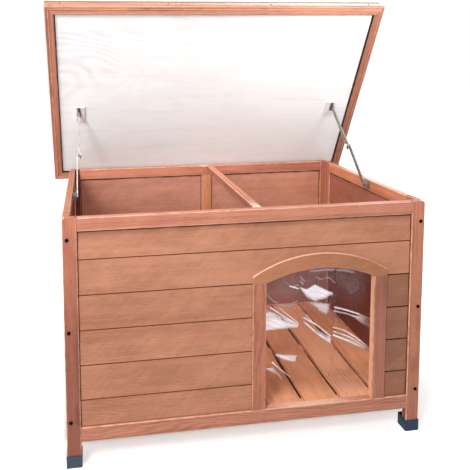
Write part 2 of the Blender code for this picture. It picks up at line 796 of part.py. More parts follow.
def build_hinge(word, side, lid):
    """Butt hinge: one leaf on the back rail, the other under the lid's edge.
    The pin is fast in the fixed leaf's two knuckles."""
    middle = side * (half_width - hinge_inset)
    x0, x1 = middle - hinge_length / 2.0, middle + hinge_length / 2.0
    first, second, third = knuckle_spans(middle)
    pin = (hinge_y, hinge_z)
    leaf_y0 = kennel_depth + fit_gap
    leaf_y1 = leaf_y0 + leaf_thickness
    leaf = [
        (leaf_y0, hinge_z - leaf_width),
        (leaf_y1, hinge_z - leaf_width),
        (leaf_y1, hinge_z),
        (leaf_y0, hinge_z),
    ]
    fixed = solid(f"hinge_{word}_rail_leaf", leaf, "x", x0 + fit_gap, x1 - fit_gap, "zinc_steel")
    # The leaf is cleared behind the middle knuckle, then gets its own two
    room = knuckle_radius + fit_gap * 2.0
    slot = box_bm(
        second[0] - fit_gap * 2.0, leaf_y0 - fit_gap, hinge_z - room,
        second[1] + fit_gap * 2.0, leaf_y1 + room, hinge_z + fit_gap,
    )
    cutter(f"hinge_{word}_slot", slot, fixed)
    for i, span in enumerate((first, third)):
        barrel = cylinder_bm(pin, "x", knuckle_radius, span[0], span[1])
        cutter(f"hinge_{word}_barrel_{i}", barrel, fixed, "UNION")
    spindle = cylinder_bm(pin, "x", pin_radius, first[0] + fit_gap, third[1] - fit_gap)
    cutter(f"hinge_{word}_pin", spindle, fixed, "UNION")
    # Moving leaf, flat under the ledge, with the middle knuckle
    top = lid_underside - fit_gap
    leaf = [
        (hinge_y, top - leaf_thickness),
        (hinge_y + leaf_width, top - leaf_thickness),
        (hinge_y + leaf_width, top),
        (hinge_y, top),
    ]
    moving = solid(f"hinge_{word}_lid_leaf", leaf, "x", x0 + fit_gap, x1 - fit_gap, "zinc_steel", lid)
    for i, span in enumerate((first, third)):
        slot = box_bm(
            span[0] - fit_gap * 3.0, hinge_y - room, top - leaf_thickness - fit_gap,
            span[1] + fit_gap * 2.0, hinge_y + room, top + fit_gap,
        )
        cutter(f"hinge_{word}_lid_slot_{i}", slot, moving, parent=lid)
    barrel = cylinder_bm(pin, "x", knuckle_radius, second[0], second[1])
    cutter(f"hinge_{word}_lid_barrel", barrel, moving, "UNION", lid)
    bore = cylinder_bm(pin, "x", pin_radius + pin_clearance, second[0] - fit_gap, second[1] + fit_gap)
    cutter(f"hinge_{word}_lid_bore", bore, moving, parent=lid)


def stay_points():
    """Pivots of a stay with the lid open: on the rail, at the elbow and on
    the lid.  The elbow stands a little forward of the straight line, which
    is past centre, so the lid's weight holds the stay straight."""
    rail = Vector((stay_rail_pivot_back, kennel_height - stay_rail_pivot_down))
    lid = Vector(open_lid_point(stay_lid_pivot_back, kennel_height - stay_lid_pivot_down))
    reach = (lid - rail).length
    along = reach * lower_arm_share
    unit = (lid - rail) / reach
    elbow = rail + unit * along + Vector((-unit.y, unit.x)) * stay_over_centre
    return rail, elbow, lid, (elbow - rail).length, (elbow - lid).length


def arm_outline(length, near_radius, far_radius):
    """Bar with rounded ends round both of its pivots, along +Y."""
    return arc(0.0, 0.0, near_radius, 90, 270, 6) + arc(length, 0.0, far_radius, -90, 90, 6)


def place_arm(name, bm, x, pivot, target, parent=None):
    """Arm object with its origin on its pivot, turned to point at target."""
    heading = target - pivot
    angle = math.atan2(heading.y, heading.x)
    return add_object(name, bm, (x, front_y + pivot.x, pivot.y), "zinc_steel", parent, angle)


def arm_tool(name, bm, arm, operation):
    """Boolean tool that shares its arm's place and turn."""
    tool = add_object(name, bm, arm.location, None, None, arm.rotation_euler.x)
    tool.hide_render = True
    tool.display_type = "WIRE"
    modifier = arm.modifiers.new(name, "BOOLEAN")
    modifier.operation = operation
    modifier.solver = "EXACT"
    modifier.object = tool


def build_stay(word, side, lid):
    """Folding stay: rail bracket, flat lower arm, channel upper arm and lid
    bracket.  Distances across it run inwards from the kennel's outer face."""
    rail, elbow, lid_pivot, lower, upper = stay_points()
    outer = side * half_width

    def x_in(distance):
        return -side * distance

    def slab(outline, near, far):
        a, b = x_in(near), x_in(far)
        return prism(outline, "x", min(a, b), max(a, b))

    def round_bar(centre, radius, near, far):
        a, b = x_in(near), x_in(far)
        return cylinder_bm(centre, "x", radius, min(a, b), max(a, b))

    plane = lower_arm_plane
    lower_far = plane + lower_arm_thickness
    # The upper arm runs clear of the rail pin's head
    upper_near = lower_far + rivet_head_height + fit_gap * 2.0
    upper_far = upper_near + upper_arm_depth
    bore = stay_pin_radius + stay_pin_clearance
    overrun = fit_gap * 2.0

    # Lower arm, with its half of the elbow rivet on the wall side and a
    # spacer between the arms
    end = stay_pin_head_radius + stay_pin_radius
    half = lower_arm_width / 2.0
    bm = slab(arm_outline(lower, end, half), plane, lower_far)
    arm = place_arm(f"stay_{word}_lower_arm", bm, outer, rail, elbow)
    arm_tool(f"stay_{word}_lower_bore", round_bar((0.0, 0.0), bore, plane - overrun, lower_far + overrun), arm, "DIFFERENCE")
    head = round_bar((lower, 0.0), stay_pin_head_radius, plane - rivet_head_height, plane + overrun)
    arm_tool(f"stay_{word}_lower_rivet", head, arm, "UNION")
    spacer = round_bar((lower, 0.0), stay_pin_radius * 1.5, lower_far - overrun, upper_near - fit_gap)
    arm_tool(f"stay_{word}_lower_spacer", spacer, arm, "UNION")

    # Upper arm, a tapered channel open towards the wall, wider at the elbow
    near_half = upper_arm_width_lid / 2.0
    far_half = upper_arm_width_elbow / 2.0
    bm = slab(arm_outline(upper, near_half, far_half), upper_near, upper_far)
    arm = place_arm(f"stay_{word}_upper_arm", bm, outer, lid_pivot, elbow)
    wall = upper_arm_wall
    pocket = slab(arm_outline(upper, near_half - wall, far_half - wall), upper_near - overrun, upper_far - wall)
    arm_tool(f"stay_{word}_upper_pocket", pocket, arm, "DIFFERENCE")
    arm_tool(f"stay_{word}_upper_bore", round_bar((0.0, 0.0), bore, upper_near, upper_far + overrun), arm, "DIFFERENCE")
    head = round_bar((upper, 0.0), stay_pin_head_radius, upper_far - wall / 2.0, upper_far + rivet_head_height)
    arm_tool(f"stay_{word}_upper_rivet", head, arm, "UNION")

    # Rail bracket: base on the rail, a web in front and an ear by the arm
    sheet = bracket_thickness
    base = frame_thickness + fit_gap
    ear_far = plane - fit_gap - rivet_head_height
    ear_near = ear_far - sheet
    y0 = rail.x - rail_bracket_reach
    y1 = rail.x + rail_bracket_reach
    outline = [
        (x_in(base), y0), (x_in(ear_far), y0), (x_in(ear_far), y1), (x_in(ear_near), y1),
        (x_in(ear_near), y0 + sheet), (x_in(base + sheet), y0 + sheet), (x_in(base + sheet), y1), (x_in(base), y1),
    ]
    outline = [(outer + a, b) for a, b in outline]
    middle_z = kennel_height - stay_rail_pivot_down
    low = middle_z - rail_bracket_height / 2.0
    bracket = solid(f"stay_{word}_rail_bracket", outline, "z", low, low + rail_bracket_height, "zinc_steel")
    pin_at = (rail.x, rail.y)
    collar = (pin_at, stay_pin_head_radius, ear_near + sheet / 2.0, plane - fit_gap)
    shank = (pin_at, stay_pin_radius, ear_far - sheet / 2.0, lower_far + fit_gap + rivet_head_height / 2.0)
    head = (pin_at, stay_pin_head_radius, lower_far + fit_gap, lower_far + fit_gap + rivet_head_height)
    for part, (centre, radius, near, far) in (("collar", collar), ("shank", shank), ("head", head)):
        a, b = outer + x_in(near), outer + x_in(far)
        piece = cylinder_bm(centre, "x", radius, min(a, b), max(a, b))
        cutter(f"stay_{word}_rail_{part}", piece, bracket, "UNION")

    # Lid bracket: base on the pad and an ear each side of the upper arm
    clear = fit_gap + rivet_head_height
    inner_ear = upper_far + fit_gap
    outer_ear = upper_near - fit_gap
    base_top = kennel_height + fit_gap - pad_thickness - fit_gap
    base_bottom = base_top - sheet
    ear_bottom = base_top - lid_bracket_drop
    spread = [
        (outer_ear - sheet, ear_bottom), (outer_ear, ear_bottom), (outer_ear, base_bottom),
        (inner_ear, base_bottom), (inner_ear, ear_bottom), (inner_ear + sheet, ear_bottom),
        (inner_ear + sheet, base_bottom), (inner_ear + sheet + clear, base_bottom),
        (inner_ear + sheet + clear, base_top), (outer_ear - sheet - clear, base_top),
        (outer_ear - sheet - clear, base_bottom), (outer_ear - sheet, base_bottom),
    ]
    outline = [(outer + x_in(a), b) for a, b in spread]
    half_length = lid_bracket_length / 2.0
    centre = stay_lid_pivot_back
    bracket = solid(
        f"stay_{word}_lid_bracket", outline, "y", centre - half_length, centre + half_length, "zinc_steel", lid
    )
    # The ears are short round the pin, the base is long
    ear_half = stay_pin_head_radius + sheet
    across = (outer + x_in(outer_ear - sheet - clear * 2.0), outer + x_in(inner_ear + sheet + clear * 2.0))
    for i, (a, b) in enumerate(((-half_length - overrun, -ear_half), (ear_half, half_length + overrun))):
        cut = box_bm(min(across), centre + a, ear_bottom - overrun, max(across), centre + b, base_bottom)
        cutter(f"stay_{word}_lid_trim_{i}", cut, bracket, parent=lid)
    near, far = outer_ear - sheet - rivet_head_height / 2.0, inner_ear + sheet + rivet_head_height / 2.0
    a, b = outer + x_in(near), outer + x_in(far)
    pin = cylinder_bm((centre, kennel_height - stay_lid_pivot_down), "x", stay_pin_radius, min(a, b), max(a, b))
    cutter(f"stay_{word}_lid_pin", pin, bracket, "UNION", lid)


def report_stay_motion():
    """Print how far each arm turns while the lid closes."""
    rail, elbow, lid_pivot, lower, upper = stay_points()
    shut = Vector((stay_lid_pivot_back, kennel_height - stay_lid_pivot_down))
    span = (shut - rail).length
    along = (lower ** 2 - upper ** 2 + span ** 2) / (2.0 * span)
    aside = math.sqrt(lower ** 2 - along ** 2)
    unit = (shut - rail) / span
    folded = rail + unit * along + Vector((unit.y, -unit.x)) * aside

    def heading(a, b):
        return math.degrees(math.atan2((b - a).y, (b - a).x))

    lower_turn = heading(rail, folded) - heading(rail, elbow)
    open_turn = heading(lid_pivot, elbow) + math.degrees(lid_open_angle)
    upper_turn = heading(shut, folded) - open_turn
    closing = math.degrees(lid_open_angle)
    print("stay lower arm turns", round(lower_turn, 3), "ratio", round(lower_turn / closing, 5))
    print("stay upper arm turns", round(upper_turn, 3), "ratio", round(upper_turn / closing, 5))
    print("stay pivots", [round(front_y + p.x, 5) for p in (rail, elbow, lid_pivot)],
          [round(p.y, 5) for p in (rail, elbow, lid_pivot)])


def main():
    clear_scene()
    build_wall_frame("front", 0.0, 0.0, 1)
    build_front_boards()
    build_doorway()
    build_curtain()
    build_back_wall()
    for word, side in (("left", -1), ("right", 1)):
        build_side_wall(word, side)
    build_feet()
    build_floor()
    build_beam()
    lid = add_empty("lid_pivot", (0.0, front_y + hinge_y, hinge_z), -lid_open_angle)
    build_lid(lid)
    for word, side in (("left", -1), ("right", 1)):
        build_hinge(word, side, lid)
        build_stay(word, side, lid)
    print("front_y", round(front_y, 5), "hinge", round(front_y + hinge_y, 5), round(hinge_z, 5))
    report_stay_motion()


main()
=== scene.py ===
import json
import math

import bmesh
import bpy
import numpy as np
from bpy.props import FloatProperty, FloatVectorProperty, IntProperty, PointerProperty
from mathutils import Matrix, Vector


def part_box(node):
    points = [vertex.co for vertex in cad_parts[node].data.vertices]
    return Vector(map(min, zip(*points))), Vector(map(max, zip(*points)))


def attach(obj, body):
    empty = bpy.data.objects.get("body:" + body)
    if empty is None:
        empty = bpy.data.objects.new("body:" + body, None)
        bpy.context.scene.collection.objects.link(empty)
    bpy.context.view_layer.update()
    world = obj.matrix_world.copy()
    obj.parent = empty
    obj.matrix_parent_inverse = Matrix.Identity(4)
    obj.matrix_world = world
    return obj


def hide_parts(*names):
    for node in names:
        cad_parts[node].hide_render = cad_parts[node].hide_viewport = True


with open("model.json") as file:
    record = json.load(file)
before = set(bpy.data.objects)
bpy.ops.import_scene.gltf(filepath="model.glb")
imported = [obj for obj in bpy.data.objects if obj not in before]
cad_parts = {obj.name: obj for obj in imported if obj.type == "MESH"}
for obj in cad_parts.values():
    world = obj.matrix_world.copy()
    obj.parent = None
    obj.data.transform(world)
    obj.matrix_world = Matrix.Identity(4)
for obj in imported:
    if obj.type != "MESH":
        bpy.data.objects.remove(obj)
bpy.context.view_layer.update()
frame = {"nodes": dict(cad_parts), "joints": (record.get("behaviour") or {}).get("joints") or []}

bl_info = {
    "name": "Kennel finishes",
    "version": (1, 0, 0),
    "blender": (4, 5, 0),
    "location": "View3D > Sidebar > Kennel",
    "description": "Stain, fixings, curtain and studio for a wooden dog kennel",
    "category": "Object",
}

PHOTO_SIZE = 470.0
MM = 0.001

# The kennel's own corner: the left end of the front face, on the ground
CORNER = Vector((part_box("front_left_stile")[0].x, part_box("front_left_stile")[0].y, 0.0))
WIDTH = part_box("front_right_stile")[1].x - CORNER.x
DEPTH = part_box("back_left_stile")[1].y - CORNER.y
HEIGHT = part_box("front_left_stile")[1].z
FIRST_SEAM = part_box("front_board_left_2")[0].z
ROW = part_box("front_board_left_3")[0].z - FIRST_SEAM
FLOOR_LOW, FLOOR_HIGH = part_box("floor_grid")
SLAT_PITCH = 112.0 * MM

# The lid stands open by this angle about the hinge
HINGE_JOINT = next(joint for joint in frame["joints"] if joint["name"] == "lid_hinge")
LID_HINGE = Vector(HINGE_JOINT["pos_m"])
LID_ANGLE = math.radians(HINGE_JOINT["range_deg"][1])
HINGE_AXIS = Vector((0.0, LID_HINGE.y, LID_HINGE.z))
OPENING = Matrix.Rotation(-LID_ANGLE, 3, "X")
SHUTTING = Matrix.Rotation(LID_ANGLE, 3, "X")
# What turning about the origin, and not the hinge, adds to a shut lid's places
LID_SHIFT = SHUTTING @ LID_HINGE - LID_HINGE


# Settings
def length(name, text, default, low=0.0, high=1.0):
    return FloatProperty(name=name, description=text, default=default, min=low, max=high, unit="LENGTH",
                         precision=4)


def number(name, text, default):
    return FloatProperty(name=name, description=text, default=default)


def power(name, text, default):
    return FloatProperty(name=name, description=text, default=default, subtype="POWER", unit="POWER")


def tint(name, text, default):
    return FloatVectorProperty(name=name, description=text, default=default, size=3, min=0.0, max=1.0,
                               subtype="COLOR")


class KennelStainSettings(bpy.types.PropertyGroup):
    frame_pale: tint("Frame, pale", "Stain on the frame between the grain lines", (0.70, 0.275, 0.168))
    frame_deep: tint("Frame, deep", "Stain in the frame's grain lines", (0.36, 0.118, 0.074))
    board_pale: tint("Boards, pale", "Stain on the boards between the grain lines", (0.68, 0.296, 0.176))
    board_deep: tint("Boards, deep", "Stain in the boards' grain lines", (0.37, 0.145, 0.080))
    door_pale: tint("Doorway, pale", "Stain on the doorway's arch", (0.70, 0.300, 0.155))
    door_deep: tint("Doorway, deep", "Stain in the arch's grain", (0.42, 0.155, 0.075))
    floor_pale: tint("Floor, pale", "Planed floor slats", (0.93, 0.43, 0.235))
    floor_deep: tint("Floor, deep", "Grain lines of the floor slats", (0.48, 0.170, 0.085))
    wash_pale: tint("Whitewash", "Whitewash on the roof lining", (0.95, 0.945, 0.94))
    # Also the colour of the painted shade on the lining
    wash_deep: tint("Whitewash, thin", "Veneer showing through the whitewash", (0.60, 0.572, 0.585))
    # Also the colour of painted highlights on edges and tops
    worn: tint("Worn arris", "Bare timber along worn edges", (0.95, 0.60, 0.43))
    # Also the colour of painted sheen on the roof's front edge and the beam's front end
    bleach_and_sheen: tint("Bleached", "Timber that has lost its stain", (0.95, 0.80, 0.71))


class KennelFixingSettings(bpy.types.PropertyGroup):
    bolt_radius: length("Bolt head", "Radius of the frame bolts' heads", 5.4 * MM)
    screw_radius: length("Screw head", "Radius of the roof edge's screw heads", 3.2 * MM)
    nail_radius: length("Nail head", "Radius of the floor nails' heads", 1.1 * MM)
    clout_radius: length("Clout head", "Radius of the felt nails' heads", 3.5 * MM)
    clout_count: IntProperty(name="Felt nails", description="Felt nails along the roof's long side",
                             default=12, min=2)


class KennelStudioSettings(bpy.types.PropertyGroup):
    camera_place: FloatVectorProperty(
        name="Camera", description="Camera's place from the kennel's front left corner",
        default=(0.0799, -1.2974, 1.1066), size=3, unit="LENGTH")
    camera_turn: FloatVectorProperty(
        name="Turn", description="Camera's turn to the right, down and round its own axis",
        default=(math.radians(7.297), math.radians(4.636), math.radians(-0.551)), size=3, unit="ROTATION")
    focal_pixels: number("Focal length", "In pixels of the photograph", 500.36)
    view_centre: FloatVectorProperty(
        name="View centre", description="Where the camera's axis meets the photograph, in pixels",
        default=(153.59, 100.28), size=2)
    floor_size: length("Floor", "Side of the studio floor", 30.0, 1.0, 50.0)
    floor_glow: number("Floor glow", "How white the floor shows beside the kennel", 0.60)
    world_level: number("World level", "Soft light from all round", 0.20)
    key_power: power("Key lamp", "Lamp at the front left", 46.0)
    side_power: power("Side lamp", "Lamp at the far left", 10.0)
    lid_power: power("Roof lamp", "Narrow lamp on the open roof", 1.9)
    top_power: power("Top lamp", "Lamp high in front", 21.0)
    lid_left_power: power("Roof lamp, left", "Narrow lamp on the roof's left", 0.95)
    rear_power: power("Rear lamp", "Lamp behind, at the right", 20.0)


def stain(name):
    """A colour of the stain settings."""
    return tuple(getattr(bpy.context.scene.kennel_stains, name))


def tinted(colour, hue):
    """A colour times one number, or times one for each channel."""
    return tuple(min(1.0, c * h) for c, h in zip(colour, hue if isinstance(hue, tuple) else (hue,) * 3))


# Node helpers
class Signal:
    """A node's output.  Sums and products of them each add a maths node."""

    def __init__(self, socket):
        self.socket, self.tree = socket, socket.id_data

    def __add__(self, other):
        return calc("ADD", self, other)

    def __sub__(self, other):
        return calc("SUBTRACT", self, other)

    def __rsub__(self, other):
        return calc("SUBTRACT", other, self)

    def __mul__(self, other):
        return calc("MULTIPLY", self, other)

    def __truediv__(self, other):
        return calc("DIVIDE", self, other)

    def __abs__(self):
        return calc("ABSOLUTE", self)

    __radd__, __rmul__ = __add__, __mul__


def feed(target, value):
    """Link an output to an input, or set a plain value on the input."""
    if isinstance(value, Signal):
        value.tree.links.new(value.socket, target)
    else:
        target.default_value = (*value, 1.0) if target.type == "RGBA" and len(value) == 3 else value


def outlets(made):
    return {socket.name: Signal(socket) for socket in made.outputs}


def make(tree, kind, inputs=(), output=0, **options):
    """Add a node with its options and inputs, and give one of its outputs."""
    made = tree.nodes.new(kind)
    for key, value in options.items():
        setattr(made, key, value)
    for key, value in dict(inputs).items():
        feed(made.inputs[key], value)
    return Signal(made.outputs[output])


def calc(operation, *values, clamp=False):
    """Maths node, or vector maths node where a vector or a colour goes in."""
    signals = [value for value in values if isinstance(value, Signal)]
    tree = signals[0].tree
    if any(signal.socket.type in {"VECTOR", "RGBA"} for signal in signals):
        answer = int(operation in {"LENGTH", "DOT_PRODUCT"})
        return make(tree, "ShaderNodeVectorMath", enumerate(values), answer, operation=operation)
    return make(tree, "ShaderNodeMath", enumerate(values), operation=operation, use_clamp=clamp)


def noise(vector, scale, detail=3.0, roughness=0.55, distortion=0.0):
    """Noise with one scale, or with one for each axis."""
    if isinstance(scale, tuple):
        vector, scale = vector * scale, 1.0
    inputs = {"Vector": vector, "Scale": scale, "Detail": detail, "Roughness": roughness,
              "Distortion": distortion}
    return make(vector.tree, "ShaderNodeTexNoise", inputs)


def ramp(value, low, high, first=0.0, last=1.0):
    """Map a value smoothly from one range to another."""
    inputs = {"Value": value, "From Min": low, "From Max": high, "To Min": first, "To Max": last}
    return make(value.tree, "ShaderNodeMapRange", inputs, interpolation_type="SMOOTHSTEP")


def mix(factor, a, b, kind="MIX"):
    """Blend two colours."""
    return make(factor.tree, "ShaderNodeMix", {0: factor, 6: a, 7: b}, 2, data_type="RGBA", blend_type=kind)


def split(vector):
    made = vector.tree.nodes.new("ShaderNodeSeparateXYZ")
    feed(made.inputs[0], vector)
    return [Signal(socket) for socket in made.outputs]


def join(*parts):
    tree = next(part.tree for part in parts if isinstance(part, Signal))
    return make(tree, "ShaderNodeCombineXYZ", enumerate(parts))


def turned(vector, rotation=(0.0, 0.0, 0.0), location=(0.0, 0.0, 0.0)):
    return make(vector.tree, "ShaderNodeMapping",
                {"Vector": vector, "Rotation": rotation, "Location": location})


def chances(value):
    """Three random numbers for a number, or for a vector's X and Y."""
    key, size = ("Vector", "2D") if value.socket.type == "VECTOR" else ("W", "1D")
    return split(make(value.tree, "ShaderNodeTexWhiteNoise", {key: value}, "Color", noise_dimensions=size))


def new_group(name, family, inputs, outputs):
    """Node group with named sockets.  An input gives its default, or only its
    kind where it has none."""
    tree = bpy.data.node_groups.new(name, family)
    for label, value in inputs.items():
        kind = value if isinstance(value, str) else {float: "Float", int: "Int", tuple: "Color"}[type(value)]
        socket = tree.interface.new_socket(name=label, in_out="INPUT", socket_type="NodeSocket" + kind)
        if kind != value:
            socket.default_value = value
    for label, kind in outputs.items():
        tree.interface.new_socket(name=label, in_out="OUTPUT", socket_type="NodeSocket" + kind)
    return tree, outlets(tree.nodes.new("NodeGroupInput")), tree.nodes.new("NodeGroupOutput").inputs


# Node groups
def build_timber_group(name):
    """Stained softwood, its grain along X: growth rings round a distant pith,
    streaks, fine fibres, slanting figure and uneven stain."""
    tree, given, result = new_group(
        name, "ShaderNodeTree",
        {"Vector": "Vector", "Seed": 0.0, "Pale": (0.6, 0.3, 0.2, 1.0), "Deep": (0.4, 0.15, 0.1, 1.0),
         "Rings": 0.2, "Streaks": 0.4, "Blotches": 0.4, "Figure": 0.2, "Tone": 0.0, "Ring Pitch": 4.0 * MM},
        {"Color": "Color", "Roughness": "Float", "Height": "Float"})
    seed = given["Seed"]
    place = given["Vector"] + join(seed * 7.31, seed * 3.17, seed * 5.53)
    chance, raw = chances(seed), split(given["Vector"])
    # Distance from a pith that leans a little, which draws long arches
    lean = raw[0] * ((chance[0] - 0.5) * 0.10)
    warp = (noise(place, (2.2, 9.0, 9.0)) - 0.5) * 0.045
    across = raw[1] + (chance[1] * 0.05 + 0.035)
    upward = raw[2] + lean + (chance[2] - 0.5) * 0.10
    rings = (calc("LENGTH", join(0.0, across, upward)) + warp) / given["Ring Pitch"]
    rings = ramp(abs(calc("FRACT", rings) - 0.55), 0.05, 0.45, 1.0, 0.0)
    fibre = noise(place, (14.0, 620.0, 620.0), 2.0)
    pores = noise(place, (48.0, 420.0, 420.0), 1.0)
    streak = noise(place, (1.6, 62.0, 62.0), 5.0, 0.6, 0.4)
    blotch = noise(place, (5.0, 11.0, 11.0), 4.0, 0.6, 0.6)
    figure = noise(turned(place, (0.0, 0.75, 0.0)), (7.0, 24.0, 24.0), 4.0, 0.65, 2.2)
    mask = (rings - 0.5) * given["Rings"]
    for value, strength in ((streak, "Streaks"), (blotch, "Blotches"), (figure, "Figure")):
        mask = (value - 0.5) * (given[strength] * 2.4) + mask
    mask = (fibre - 0.5) * 0.45 + mask + ramp(pores, 0.58, 0.74, 0.0, 0.28)
    mask = calc("ADD", mask, given["Tone"] + 0.42, clamp=True)
    colour = mix(mask, given["Pale"], given["Deep"])
    # Stain that took less red
    sallow = ramp(noise(place, (4.0, 17.0, 17.0), 5.0, 0.65), 0.46, 0.70, 0.0, 0.6)
    feed(result["Color"], mix(sallow, colour, colour * (0.93, 0.95, 0.86)))
    feed(result["Roughness"], fibre * 0.22 + 0.40)
    feed(result["Height"], rings * -0.35 + fibre * -0.65)
    return tree


def build_course_group(name):
    """Gives each course of boards its own grain and tone, and says how near
    the seam between two courses is.  The flush inner side shows no courses."""
    tree, given, result = new_group(
        name, "ShaderNodeTree",
        {"Vector": "Vector", "Height": 0.0, "Outer": 1.0, "First Seam": FIRST_SEAM, "Pitch": ROW,
         "Seed": 0.0},
        {"Vector": "Vector", "Tone": "Float", "Seam": "Float", "Seed": "Float"})
    courses = (given["Height"] - given["First Seam"]) / given["Pitch"]
    chance = chances(join(calc("FLOOR", courses) * given["Outer"], given["Seed"]))
    feed(result["Vector"], given["Vector"] + join(chance[0] * 4.0))
    feed(result["Tone"], (chance[1] - 0.5) * 0.16)
    feed(result["Seed"], chance[2] * 9.0 + given["Seed"])
    near = abs(calc("FRACT", courses + 0.5) - 0.5) * given["Pitch"]
    feed(result["Seam"], ramp(near, 0.8 * MM, 2.3 * MM, 1.0, 0.0) * given["Outer"])
    return tree


def build_arris_group(name):
    """Finds the slanting faces of planed edges, where a highlight is painted and the stain wears off."""
    tree, given, result = new_group(
        name, "ShaderNodeTree", {"Normal": "Vector", "Vector": "Vector", "Least": 0.05}, {"Mask": "Float"})
    sides = split(abs(given["Normal"]))
    flat = calc("MAXIMUM", calc("MAXIMUM", sides[0], sides[1]), sides[2])
    mask = ramp(1.0 - flat, given["Least"], given["Least"] + 0.03)
    feed(result["Mask"], mask * ramp(noise(given["Vector"], 45.0), 0.30, 0.62, 0.25, 1.0))
    return tree


def build_grime_group(name):
    """Faint scuffs and dust, the same on every hard finish."""
    tree, given, result = new_group(
        name, "ShaderNodeTree", {"Vector": "Vector", "Scale": 40.0}, {"Mask": "Float", "Fine": "Float"})
    feed(result["Mask"], ramp(noise(given["Vector"], given["Scale"], 5.0, 0.5), 0.45, 0.75))
    feed(result["Fine"], noise(given["Vector"], given["Scale"] * 22.0, 2.0, 0.5))
    return tree


GROUPS = {
    "Stained Timber": build_timber_group,
    "Board Courses": build_course_group,
    "Worn Arris": build_arris_group,
    "Faint Grime": build_grime_group,
}


# Materials
def new_material(name):
    """A material, its node tree, its shader's inputs and object coordinates."""
    material = bpy.data.materials.new(name)
    material.use_nodes = True
    tree = material.node_tree
    where = make(tree, "ShaderNodeTexCoord", output="Object")
    return material, tree, tree.nodes["Principled BSDF"].inputs, where


def place_group(tree, name, **inputs):
    """Put a node group in, built the first time, and give all its outputs."""
    made = tree.nodes.new("ShaderNodeGroup")
    made.node_tree = bpy.data.node_groups.get(name) or GROUPS[name](name)
    for key, value in inputs.items():
        feed(made.inputs[key.replace("_", " ")], value)
    return outlets(made)


def coat(shader, colour, roughness, specular=0.5, metallic=0.0):
    feed(shader["Base Color"], colour)
    feed(shader["Roughness"], roughness)
    feed(shader["Specular IOR Level"], specular)
    feed(shader["Metallic"], metallic)


def bump(shader, height, distance, strength):
    inputs = {"Height": height, "Distance": distance, "Strength": strength}
    feed(shader["Normal"], make(height.tree, "ShaderNodeBump", inputs))


# Which way the grain runs: the turn that brings it onto X
GRAIN = {
    "x": (0.0, 0.0, 0.0),
    "y": (0.0, 0.0, -math.pi / 2.0),
    "z": (0.0, math.pi / 2.0, 0.0),
}
TIMBER_SHINE = 0.35
# How the dirt in a seam and the light on the ribbed slat change the stain
SEAM_DIRT = (0.36, 0.19, 0.14)
RIB_HUE = (1.07, 1.17, 1.28)


